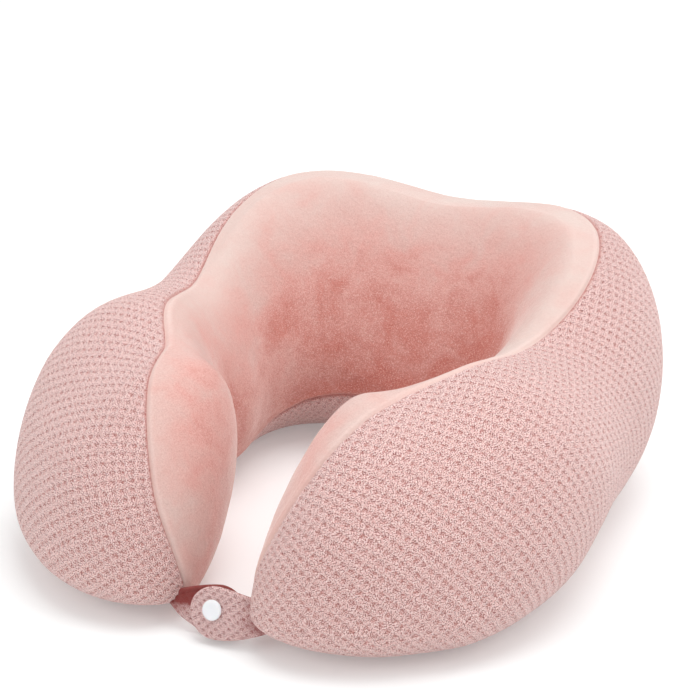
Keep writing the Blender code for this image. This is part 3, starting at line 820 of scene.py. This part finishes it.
def plush_material():
    """Short pink velour: pale beside the upper seam with painted light and sheen, deeper in the
    hollow with painted shade, and cloudy.
    """
    n = Nodes("plush_velour")
    place = n.read("cloth", "Vector")
    edge = n.read("edge")
    # The hollow value paints shade into the hollow and light onto the ridge; the clouds are the nap's
    # own mottling.
    deep = n.read("hollow")
    wide = n.noise(place, 0.016, detail=1.5, roughness=0.45, distortion=0.4)
    cloud = n.noise(place, 0.045, detail=2.5, roughness=0.55, distortion=0.8)
    patch = n.noise(place, 0.12, detail=2.0, roughness=0.6, distortion=1.2)
    pile = n.noise(place, 1.5, detail=2.0, roughness=0.7)
    strand = n.noise(place, 4.0, detail=1.0, roughness=0.6)
    clouds = n.sway(wide, 1.0)
    clouds = n.plus(clouds, n.sway(cloud, 1.1))
    clouds = n.plus(clouds, n.sway(patch, 0.3))
    clouds = n.times(clouds, n.ramp(deep, 0.1, 0.7, 0.4, 1.0, smooth=False))
    depth = n.math("ADD", deep, clouds, clamp=True)
    # From painted light on the ridge to painted shade deep in the hollow.
    color = n.mix(n.ramp(depth, 0.0, 0.55, smooth=False), PLUSH_PALE_LIT, PLUSH_ROSE)
    color = n.mix(n.ramp(depth, 0.55, 1.0, smooth=False), color, PLUSH_DEEP_SHADE)
    speck = n.plus(n.times(pile, 0.6), n.times(strand, 0.4))
    coarse = n.ramp(deep, 0.1, 0.9, 0.10, 0.60, smooth=False)
    color = n.mix(n.times(n.ramp(speck, 0.50, 0.62), coarse), color, PLUSH_FLECK_AND_SHEEN)
    color = n.mix(n.times(n.ramp(speck, 0.50, 0.38), coarse), color, PLUSH_SHADE)
    # A pale band beside the upper seam is painted sheen where the plush rolls over the seam.
    seam_sheen = n.ramp(edge, 0.4, 5.0, 1.0, 0.0)
    color = n.mix(n.times(seam_sheen, 0.40), color, PLUSH_FLECK_AND_SHEEN)
    height = n.plus(n.times(pile, 0.7), n.noise(place, 0.5, detail=1.0))
    height = n.plus(height, n.times(strand, 0.4))
    normal = n.bump(height, 0.00040, 0.6)
    return n.finish(
        color,
        n.ramp(depth, 0.0, 1.0, 0.80, 0.92),
        normal,
        Sheen_Weight=0.9,
        Sheen_Roughness=0.38,
        Sheen_Tint=(1.0, 0.88, 0.83, 1),
        Specular_IOR_Level=0.15,
    )


def knit_nodes(n):
    """Nodes for the waffle: each cell's pit, the painted highlight on the arched ridge over it, and
    the yarn's strokes.
    """
    parts = n.add("ShaderNodeSeparateXYZ", {"Vector": n.read("cloth", "Vector")})
    u, v = parts.outputs[0], parts.outputs[1]
    c = math.cos(math.radians(KNIT_TURN))
    s = math.sin(math.radians(KNIT_TURN))
    wide, tall = KNIT_PITCH
    p = n.plus(n.times(u, c / wide), n.times(v, s / wide))
    q = n.minus(n.times(v, c / tall), n.times(u, s / tall))
    p = n.minus(n.math("FRACT", p), 0.5)
    q = n.minus(n.math("FRACT", q), 0.5)
    x = n.minus(n.times(p, c * wide), n.times(q, s * tall))
    y = n.plus(n.times(p, s * wide), n.times(q, c * tall))
    bow = n.times(n.times(x, x), PIT_BOW)
    lifted = n.plus(y, bow)
    a = n.math("DIVIDE", x, n.minus(PIT_HALF_WIDTH, n.times(y, PIT_TAPER)))
    b = n.math("DIVIDE", lifted, PIT_HALF_HEIGHT)
    reach = n.math("SQRT", n.plus(n.times(a, a), n.times(b, b)))
    pit = n.ramp(reach, 1.40, 0.45)
    # The arched ridge over each pit takes a painted highlight.
    arch_highlight = n.times(n.ramp(reach, 0.85, 1.15), n.ramp(reach, 1.60, 1.25))
    arch_highlight = n.times(arch_highlight, n.ramp(lifted, -0.3, 0.8))
    slant = n.math("ABSOLUTE", x)
    turns = 2 * math.pi / YARN_PITCH
    stroke = n.math("SINE", n.times(n.plus(y, slant), turns))
    across = n.plus(u, n.times(v, 0.35))
    side = n.math("SINE", n.times(across, turns * 0.93))
    yarn = n.plus(n.times(stroke, 0.55), n.times(side, 0.45))
    return pit, arch_highlight, yarn


def knit_material(name, dark, middle, pale, sheen):
    """Waffle knit: pale arched ridges with painted highlights, darker pits with painted shade, fine
    yarn strokes and flecks.
    """
    n = Nodes(name)
    place = n.read("cloth", "Vector")
    edge = n.read("edge")
    shade = n.read("shade")
    pit, arch_highlight, yarn = knit_nodes(n)
    fleck = n.noise(place, 1.7, detail=2.0, roughness=0.8)
    spark = n.noise(place, 1.9, detail=0.0)
    loose = n.noise(place, 0.35, detail=2.0)
    stroke = n.ramp(yarn, -0.8, 0.8)
    # Pits are painted in shade and arched ridges painted with a highlight; strokes and flecks are the
    # yarn's own tone.
    light = n.times(n.minus(1.0, pit), 0.36)
    light = n.plus(light, n.times(arch_highlight, 0.18))
    light = n.plus(light, n.times(stroke, 0.34))
    light = n.plus(light, n.sway(fleck, 2.4))
    light = n.plus(light, n.sway(loose, 0.35))
    color = n.mix(n.ramp(light, 0.0, 0.42, smooth=False), dark, middle)
    color = n.mix(n.ramp(light, 0.42, 0.90, smooth=False), color, pale)
    color = n.mix(n.times(n.ramp(spark, 0.54, 0.66), 0.80), color, SPARK_PALE)
    color = n.mix(n.times(n.ramp(spark, 0.45, 0.31), 0.95), color, SPARK_DARK)
    # Painted shade darkens the knit in the seam grooves, and the shade value adds more painted shade.
    seam = n.times(n.ramp(edge, 0.2, 1.8, 1.0, 0.0), 0.7)
    color = n.mix(n.math("MAXIMUM", seam, shade), color, dark)
    height = n.plus(n.times(yarn, 0.5), n.times(fleck, 0.8))
    height = n.minus(height, n.times(pit, 0.7))
    normal = n.bump(height, 0.00035, 0.8)
    return n.finish(
        color,
        n.ramp(stroke, 0.0, 1.0, 0.85, 0.68),
        normal,
        Sheen_Weight=sheen,
        Sheen_Roughness=0.5,
        Sheen_Tint=(1.0, 0.90, 0.88, 1),
        Specular_IOR_Level=0.2,
    )


# Foam core


def build_foam(material):
    """The foam under the cover, in two halves."""
    rows = even_rows(FOAM_STEP)
    angle, tip = (part[rows[1] > FOAM_END_TIP] for part in rows)
    turns = np.linspace(0, 1, FOAM_COLUMNS + 1)
    points = skin(angle[:, None], turns[None], tip[:, None])
    normals = grid_normals(points)
    for end, inside in ((0, 2), (-1, -3)):
        normals[end] = normals[inside].mean(0) / np.linalg.norm(normals[inside].mean(0))
    zip_low = turn_at_height(angle, ZIP_HEIGHT - FOAM_ZIP_HALF)[:, None]
    zip_high = turn_at_height(angle, ZIP_HEIGHT + FOAM_ZIP_HALF)[:, None]
    in_zip = (turns > zip_low) & (turns < zip_high) & (np.abs(angle) < zip_end_angle() + 2)[:, None]
    depth = FOAM_DEPTH + FOAM_ZIP_DEPTH * in_zip
    depth = depth + 0.0002 * field_noise(points, 6 * MM, 8)
    points = points - normals * depth[..., None]
    points[:, -1] = points[:, 0]
    points[..., 2] = np.maximum(points[..., 2], FOAM_DEPTH)
    for side, label, part in halves(len(angle)):
        half = points[part]
        first, last = (np.broadcast_to(half[k].mean(0), half[:1].shape) for k in (0, -1))
        body = np.concatenate([first, half, last])
        turned = np.concatenate([normals[part][:1], normals[part], normals[part][-1:]])
        cloth = {"cloth": body / MM}
        thing = grid_piece(f"foam_core_{label}_half", body, turned, cloth, material)
        flex_blend(thing)
        arm = "foam_core_right_arm" if side > 0 else "foam_core_left_arm"
        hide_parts(*([arm, "foam_core_back"] if side > 0 else [arm]))


# Closure tabs and snap


def tab_frame(offset):
    """Matrix of the closure: X along the tabs, Y up them, Z out towards the wearer's front."""
    out = Vector((0, -math.cos(TAB_LEAN), math.sin(TAB_LEAN)))
    up = Vector((0, math.sin(TAB_LEAN), math.cos(TAB_LEAN)))
    made = Matrix((Vector((1, 0, 0)), up, out)).transposed().to_4x4()
    made.translation = TAB_CENTRE + out * offset
    return made


def tab_outline(share, side):
    """Distance along a tab and its lower and upper edge, in mm, from rounded end to root."""
    swing = np.clip(share / TAB_ROUND_SHARE, 0, 1) * math.pi / 2
    past = np.clip((share - TAB_ROUND_SHARE) / (1 - TAB_ROUND_SHARE), 0, 1)
    along = TAB_BEND - TAB_HALF * np.cos(swing) + past * (TAB_TUCK - TAB_BEND)
    half = TAB_HALF * np.sin(swing)
    from_below, from_above = TAB_NARROWING[side]
    low = -half - 0.4 * np.sin(swing) + from_below * past**1.8
    high = half - 2.2 * np.sin(swing) - from_above * past**1.4
    return along, low, high


def build_tab(name, node, side, front_face, body, material):
    """A tab of doubled knit with a rolled edge, whose root is tucked into the arm's seam."""
    share = np.concatenate([[0.004, 0.012, 0.025], np.linspace(0.045, 1, 92)])
    across = np.sin(np.linspace(-1, 1, 76) * math.pi / 2)
    along, low, high = tab_outline(share, side)
    x = along[:, None] + 0 * across
    y = (low + high)[:, None] / 2 + (high - low)[:, None] / 2 * across
    outline = np.concatenate([np.stack([along, low], 1), np.stack([along, high], 1)[::-1]])
    distance = outline_distance(x, y, outline)
    roll = np.sqrt(np.clip(1 - (1 - np.minimum(distance / TAB_ROLL, 1)) ** 2, 0, 1))
    from_snap = np.hypot(x, y)
    cloth = np.stack([x * TAB_KNIT_SCALE + 3.1, y * TAB_KNIT_SCALE + 1.7, 0 * x], -1)
    relief = knit_relief(cloth) * 0.5 * np.clip((distance - 1.8) / 1.0, 0, 1)
    calm = np.clip((from_snap - 4.0) / 2.0, 0, 1)
    crease = bell(x - 17.5, 2.6) * np.clip(from_snap / 14 - 0.4, 0, 1)
    # The right tab curls back towards its arm.
    if side > 0:
        bend = -TAB_CURL * np.clip((x - 7.0) / 16.0, 0, 2) ** 2 - 0.9 * crease
    else:
        # The left tab stands clear of the plush that it folds towards.
        bend = 1.0 * np.clip((x - 12.0) / 8.0, 0, 1) - 0.2 * crease
    bend += 0.35 * np.sin(y * 0.42 + x * 0.25) * np.clip((x - 6) / 10, 0, 1)
    bend -= 0.5 * np.clip(distance.max() - distance - 8, 0, 4) / 4 * calm
    frame_now = np.array(tab_frame(front_face))
    faces = []
    for face in (1, -1):
        half = TAB_SOFT_HALF * roll * (1 + 0.10 * bell(distance - 1.2, 0.9))
        half -= 0.28 * bell(distance - 2.7, 0.42) * calm
        half += relief * calm * 0.8
        half = np.maximum(half, 0.02 * roll)
        points = np.stack([side * x, y, bend + face * half], -1) * MM
        points[..., 2] += TAB_THICKNESS / 2
        faces.append(points @ frame_now[:3, :3].T + frame_now[:3, 3])
    loop, cloth_loop, edge_loop, shade = (
        np.concatenate([front, back[:, ::-1], front[:, :1]], axis=1)[:, ::side]
        for front, back in (
            faces,
            (cloth, cloth),
            (distance + 2.0, distance + 2.0),
            # The tab's back is painted in shade, three quarters dark.
            (tab_shade(x, y, side), 0.75 + 0 * x),
        )
    )
    named = {"cloth": cloth_loop, "edge": edge_loop, "shade": shade}
    thing = grid_piece(name, loop, tube_normals(loop), named, material)
    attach(thing, body)
    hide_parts(node)


def tab_shade(x, y, side):
    """How much painted shade a tab's front takes, by the roots and folds where shade falls."""
    root = np.clip((x - 12) / 12, 0, 1) * (0.35 + 0.65 * bell(y - 1.0, 9.0))
    folds = 0.5 + 0.5 * np.sin(y * 0.75 + 0.16 * x + 0.8)
    shade = root * (0.35 + 0.5 * folds)
    # The left tab's upper part is painted in deep shade, where it lies under the arm's tip.
    if side < 0:
        shade = np.maximum(shade, np.clip((y + 1.5 + 0.15 * x) / 3.5, 0, 1) * 0.95)
    return np.clip(shade, 0, 0.95)


def tube_normals(points):
    """Unit normals of a grid whose last column repeats its first."""
    wrapped = np.concatenate([points[:, -2:-1], points, points[:, 1:2]], axis=1)
    along = np.gradient(points, axis=0)
    around = (wrapped[:, 2:] - wrapped[:, :-2]) / 2
    normal = np.cross(around, along)
    normal /= np.maximum(np.linalg.norm(normal, axis=-1, keepdims=True), 1e-15)
    return normal


def outline_distance(x, y, outline):
    """Distance in mm of each point from an open outline of points."""
    a = outline[:-1]
    b = outline[1:]
    run = b - a
    length = np.maximum((run**2).sum(1), 1e-12)
    best = np.full(x.shape, 1e9)
    for start, step, size in zip(a, run, length):
        if step[0] == 0 and abs(start[0]) > TAB_TUCK - 0.5:
            continue
        t = np.clip(((x - start[0]) * step[0] + (y - start[1]) * step[1]) / size, 0, 1)
        best = np.minimum(best, np.hypot(x - start[0] - t * step[0], y - start[1] - t * step[1]))
    return best


def turned_piece(name, profile, frame_now, body, node, material):
    """A smooth turned piece from (radius, height) points in metres, axis to axis."""
    sides = SNAP_SIDES
    verts = []
    for r, h in profile:
        for k in range(sides):
            a = 2 * math.pi * k / sides
            verts.append(frame_now @ Vector((r * math.cos(a), r * math.sin(a), h)))
    mesh = bpy.data.meshes.new(name)
    faces = []
    for i in range(len(profile) - 1):
        for k in range(sides):
            n = (k + 1) % sides
            a = i * sides
            faces.append((a + k, a + n, a + sides + n, a + sides + k))
    mesh.from_pydata(verts, [], faces)
    shape = bmesh.new()
    shape.from_mesh(mesh)
    bmesh.ops.remove_doubles(shape, verts=shape.verts, dist=1e-6)
    bmesh.ops.recalc_face_normals(shape, faces=shape.faces)
    shape.to_mesh(mesh)
    shape.free()
    mesh.shade_smooth()
    mesh.set_sharp_from_angle(angle=math.radians(50))
    mesh.materials.append(material)
    thing = new_object(name, mesh)
    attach(thing, body)
    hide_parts(node)


def rounded_cap(radius, height, post, post_end):
    """Profile in metres of a button cap on a post, with a rolled rim and a nearly flat top."""
    profile = [(0, post_end), (post, post_end), (post, 0.0)]
    rim = height * 0.42
    for k in range(9):
        a = -math.pi / 2 + math.pi / 2 * k / 8
        profile.append((radius - rim + rim * math.cos(a), rim + rim * math.sin(a)))
    rise = height - rim - 0.00015
    for k in range(1, 12):
        a = math.pi / 2 * k / 11
        profile.append((radius - CAP_SHOULDER * (1 - math.cos(a)), rim + rise * math.sin(a)))
    profile.append((radius * 0.62, height - 0.0001))
    profile.append((radius * 0.45, height - 0.00022))
    profile.append((0, height - 0.00025))
    return profile


def build_closure(knit, plastic):
    """Both tabs and the four pieces of the snap."""
    front = (SOCKET_HEIGHT + SNAP_CLEARANCE + STUD_HEIGHT + STUD_BASE) / 2
    build_tab("tab_right_knit", "closure_tab_right", 1, front, "right_tab", knit)
    build_tab("tab_left_knit", "closure_tab_left", -1, -front - TAB_THICKNESS, "left_tab", knit)
    cap_frame = tab_frame(front + TAB_THICKNESS + SNAP_EDGE)
    cap = rounded_cap(SNAP_RADIUS, 0.0017, POST_RADIUS, -POST_LENGTH)
    turned_piece("snap_cap_round", cap, cap_frame, "right_tab", "snap_cap", plastic)
    back_frame = tab_frame(-front - TAB_THICKNESS - SNAP_EDGE) @ Matrix.Rotation(math.pi, 4, "X")
    back_cap = rounded_cap(SNAP_RADIUS, 0.0012, POST_RADIUS, -POST_LENGTH)
    turned_piece("snap_back_cap_round", back_cap, back_frame, "left_tab", "snap_back_cap", plastic)
    outer = SNAP_RADIUS - SNAP_EDGE
    deep = SOCKET_HEIGHT - SNAP_EDGE
    socket = [(0, 0), (outer - 0.0002, 0), (outer, -0.0002), (outer, -deep + 0.0005)]
    socket += [(outer - 0.0002, -deep + 0.0001), (outer - 0.0005, -deep)]
    socket += [(STUD_RADIUS + 0.0004, -deep), (STUD_RADIUS + 0.0002, -deep + 0.0001)]
    socket += [(STUD_RADIUS + 0.00015, -deep + 0.0004), (STUD_RADIUS + 0.0004, -0.0009)]
    socket += [(STUD_RADIUS, -0.0006), (0, -0.0006)]
    socket_frame = tab_frame(front - SNAP_EDGE)
    turned_piece("snap_socket_ring", socket, socket_frame, "right_tab", "snap_socket", plastic)
    knob = STUD_BASE + STUD_HEIGHT - SNAP_EDGE
    foot = SNAP_RADIUS - 0.0004
    stud = [(0, 0), (foot - 0.0003, 0), (foot, 0.0003), (foot - 0.0002, 0.0006)]
    stud += [(foot - 0.0005, STUD_BASE)]
    stud += [(STUD_RADIUS - 0.0003, STUD_BASE), (STUD_RADIUS - 0.0004, STUD_BASE + 0.0001)]
    stud += [(STUD_RADIUS - 0.0004, knob * 0.55), (STUD_RADIUS - 0.0001, knob * 0.68)]
    stud += [(STUD_RADIUS, knob * 0.8), (STUD_RADIUS - 0.0001, knob * 0.92)]
    stud += [(STUD_RADIUS - 0.0005, knob), (0, knob)]
    stud_frame = tab_frame(SNAP_EDGE - front)
    turned_piece("snap_stud_knob", stud, stud_frame, "left_tab", "snap_stud", plastic)


# Zip


def arc_place(swing, out, height):
    """A point by the zip's arc: swing in radians, out in metres from the axis, and height."""
    centre = zip_arc()[0]
    return np.stack([out * np.sin(swing), centre + out * np.cos(swing), height], -1)


def build_zip(tape_material, coil_material, slider_material):
    """Woven tapes, a coil of teeth on each, and better finishes on the small solids."""
    radius = zip_arc()[1]
    reach = math.radians(ZIP_HALF_ANGLE + TAPE_PAST_END)
    swing = np.linspace(-reach, reach, 240)
    for label, side in (("lower", -1), ("upper", 1)):
        near = side * MESH_GAP
        far = side * (ZIP_HALF_SLOT + TAPE_UNDER_COVER)
        edges = np.linspace(near, far, TAPE_COLUMNS)
        ring_out = np.concatenate([edges, edges[::-1], edges[:1]])
        lift = np.zeros(2 * TAPE_COLUMNS + 1)
        lift[TAPE_COLUMNS:-1] = -TAPE_THICKNESS
        # The far edge sags under the cover, and so does the whole tape past the zip's ends.
        sag = -TAPE_SAG * np.clip((np.abs(ring_out) - 0.0030) / 0.0022, 0, 1) ** 1.5
        past = (np.abs(swing) - math.radians(ZIP_HALF_ANGLE)) / math.radians(TAPE_PAST_END)
        dip = -TAPE_DIP * np.clip(past * 1.6, 0, 1)
        out = radius + lift + sag + dip[:, None]
        points = arc_place(swing[:, None], out, ZIP_HEIGHT + ring_out + 0 * out)
        along, across = np.broadcast_arrays(swing[:, None] * radius / MM, ring_out / MM)
        cloth = np.stack([along, across, 0 * along], -1)
        points, cloth = points[:, ::side], {"cloth": cloth[:, ::side]}
        normals = tube_normals(points)
        thing = grid_piece(f"zip_tape_{label}_woven", points, normals, cloth, tape_material)
        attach(thing, "back")
        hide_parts(f"zip_tape_{label}")
        build_coil(label, side, radius, coil_material)
    for name in ("zip_stop_left", "zip_stop_right", "zip_slider", "zip_pull"):
        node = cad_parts[name]
        node.data.materials.clear()
        node.data.materials.append(slider_material)
        bevel = node.modifiers.new("soft_edges", "BEVEL")
        bevel.width = 0.00018 if name != "zip_pull" else 0.00030
        bevel.segments = 3
        bevel.limit_method = "ANGLE"
        bevel.angle_limit = math.radians(35)
        bevel.harden_normals = False


def build_coil(label, side, radius, material):
    """A row of moulded teeth: one rounded monofilament loop after another along the tape."""
    reach = math.radians(ZIP_HALF_ANGLE - 1)
    count = int(2 * reach * radius / COIL_PITCH)
    swings = np.linspace(-reach, reach, count) + side * 0.25 * COIL_PITCH / radius
    path = []
    for k in range(count):
        for step in range(COIL_STEPS):
            turn = 2 * math.pi * step / COIL_STEPS
            along = swings[k] + COIL_PITCH / radius * step / COIL_STEPS
            across = COIL_NEAR + (COIL_FAR - COIL_NEAR) * (0.5 - 0.5 * math.cos(turn))
            out = radius + COIL_LOW + COIL_RISE * (0.5 + 0.5 * math.sin(turn))
            path.append((along, out, ZIP_HEIGHT + side * across))
    path = np.array(path)
    line = arc_place(path[:, 0], path[:, 1], path[:, 2])
    tangent = np.gradient(line, axis=0)
    tangent /= np.linalg.norm(tangent, axis=1, keepdims=True)
    outward = line - np.array([0, zip_arc()[0], ZIP_HEIGHT])
    first = np.cross(tangent, outward)
    first /= np.linalg.norm(first, axis=1, keepdims=True)
    second = np.cross(tangent, first)
    angles = np.linspace(0, 2 * math.pi, COIL_SIDES + 1)
    c, s = np.cos(angles)[:, None], np.sin(angles)[:, None]
    ring = first[:, None] * c + second[:, None] * s
    points = line[:, None] + ring * COIL_THREAD
    points[:, -1] = points[:, 0]
    normals = ring / np.linalg.norm(ring, axis=-1, keepdims=True)
    thing = grid_piece(f"zip_coil_{label}", points, normals, {"cloth": points / MM}, material)
    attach(thing, "back")
    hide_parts(f"zip_teeth_{label}")


def foam_material():
    """Slow-recovery foam: cream, with fine open pores painted darker as shade."""
    n = Nodes("cream_foam")
    place = n.read("cloth", "Vector")
    pores = n.add("ShaderNodeTexVoronoi", {"Vector": place, "Scale": 1.6})
    cloud = n.noise(place, 0.05, detail=2.0)
    color = n.mix(cloud, (0.84, 0.76, 0.60), (0.90, 0.84, 0.70))
    pore_shade_mask = n.ramp(pores.outputs["Distance"], 0.05, 0.35)
    # The pores are painted darker as painted shade in them.
    color = n.mix(pore_shade_mask, (0.62, 0.53, 0.40), color)
    return n.finish(color, 0.95, n.bump(pore_shade_mask, 0.0003, 0.7))


def plastic_material():
    """White moulded plastic of the snap, with a satin skin."""
    n = Nodes("white_plastic")
    place = n.add("ShaderNodeTexCoord").outputs["Object"]
    cloud = n.noise(place, 900.0, detail=2.0)
    color = n.mix(cloud, (0.80, 0.81, 0.835), (0.84, 0.85, 0.87))
    roughness = n.ramp(cloud, 0.3, 0.7, 0.36, 0.44)
    normal = n.bump(n.noise(place, 4000.0), 0.00002, 0.3)
    return n.finish(color, roughness, normal, Subsurface_Weight=0.15, Subsurface_Scale=0.002)


def tape_material():
    """Woven polyester tape in the cover's pink, with a herringbone grain."""
    n = Nodes("zip_tape_weave")
    parts = n.add("ShaderNodeSeparateXYZ", {"Vector": n.read("cloth", "Vector")})
    u, v = parts.outputs[0], parts.outputs[1]
    slant = n.math("ABSOLUTE", n.minus(n.math("FRACT", n.times(v, 0.8)), 0.5))
    weave = n.math("SINE", n.times(n.plus(u, slant), 2 * math.pi / 0.55))
    rib = n.math("SINE", n.times(v, 2 * math.pi / 0.42))
    height = n.plus(n.times(weave, 0.5), n.times(rib, 0.3))
    color = n.mix(n.ramp(height, -0.7, 0.7), (0.46, 0.20, 0.18), (0.70, 0.38, 0.35))
    return n.finish(color, 0.78, n.bump(height, 0.0001, 0.7))


def coil_material():
    """Nylon coil of the zip, pink and slightly glossy."""
    n = Nodes("nylon_coil")
    place = n.read("cloth", "Vector")
    cloud = n.noise(place, 0.6, detail=2.0)
    color = n.mix(cloud, (0.58, 0.28, 0.25), (0.68, 0.36, 0.33))
    return n.finish(color, n.ramp(cloud, 0.3, 0.7, 0.30, 0.42), n.bump(cloud, 0.00003, 0.4))


def slider_material():
    """Painted die-cast slider and pull, pink with worn, paler high spots."""
    n = Nodes("painted_slider")
    place = n.add("ShaderNodeTexCoord").outputs["Object"]
    cloud = n.noise(place, 500.0, detail=3.0)
    edges = n.add("ShaderNodeNewGeometry").outputs["Pointiness"]
    worn = n.ramp(edges, 0.52, 0.62)
    color = n.mix(cloud, (0.60, 0.29, 0.26), (0.68, 0.35, 0.32))
    color = n.mix(n.times(worn, 0.35), color, (0.78, 0.52, 0.48))
    roughness = n.ramp(cloud, 0.3, 0.7, 0.32, 0.45)
    normal = n.bump(cloud, 0.00002, 0.4)
    return n.finish(color, roughness, normal, Coat_Weight=0.3, Coat_Roughness=0.25)


# Setting


def face_along(thing, direction):
    """Turns a camera or a lamp to look along a direction."""
    thing.rotation_mode = "QUATERNION"
    thing.rotation_quaternion = direction.to_track_quat("-Z", "Y")


def build_setting():
    """Floor, camera, pale world and soft lights."""
    floor_mesh = bpy.data.meshes.new("floor")
    corners = [(x * FLOOR_SIZE, y * FLOOR_SIZE, 0) for x, y in ((-1, -1), (1, -1), (1, 1), (-1, 1))]
    floor_mesh.from_pydata(corners, [], [(0, 1, 2, 3)])
    floor = new_object("floor", floor_mesh)
    n = Nodes("floor_paint")
    grain = n.noise(n.add("ShaderNodeTexCoord").outputs["Object"], 40.0, detail=2.0)
    paint = n.mix(grain, *FLOOR_COLOURS)
    made = n.finish(paint, 0.6, Emission_Color=paint, Emission_Strength=FLOOR_GLOW)
    floor_mesh.materials.append(made)
    camera = new_object("camera", bpy.data.cameras.new("camera"))
    a = math.radians(CAMERA_AZIMUTH)
    e = math.radians(CAMERA_ELEVATION)
    back = Vector((math.sin(a) * math.cos(e), -math.cos(a) * math.cos(e), math.sin(e)))
    camera.location = CAMERA_AIM + back * CAMERA_DISTANCE
    face_along(camera, -back)
    camera.data.lens = CAMERA_LENS
    camera.data.sensor_width = 36.0
    camera.data.clip_start = 0.05
    camera.data.clip_end = 50.0
    bpy.context.scene.camera = camera
    world = bpy.data.worlds.new("pale_room")
    bpy.context.scene.world = world
    world.use_nodes = True
    background = world.node_tree.nodes["Background"]
    background.inputs["Color"].default_value = (1.0, 1.0, 1.0, 1)
    background.inputs["Strength"].default_value = WORLD_STRENGTH
    for name, place, width, power in LAMPS:
        lamp = bpy.data.lights.new(name, "AREA")
        lamp.size = width
        lamp.energy = power
        holder = new_object(name, lamp)
        holder.location = place
        face_along(holder, LAMP_AIM - holder.location)
    bpy.context.scene.view_settings.view_transform = "Standard"


materials = {
    "plush": plush_material(),
    "knit": knit_material("waffle_knit", KNIT_PAINTED_SHADE, KNIT_MIDDLE, KNIT_PALE, 0.60),
    "tab": knit_material("tab_knit", TAB_PAINTED_SHADE, TAB_MIDDLE, TAB_PALE, 0.15),
}
build_cover(materials)
build_foam(foam_material())
build_closure(materials["tab"], plastic_material())
build_zip(tape_material(), coil_material(), slider_material())
build_setting()
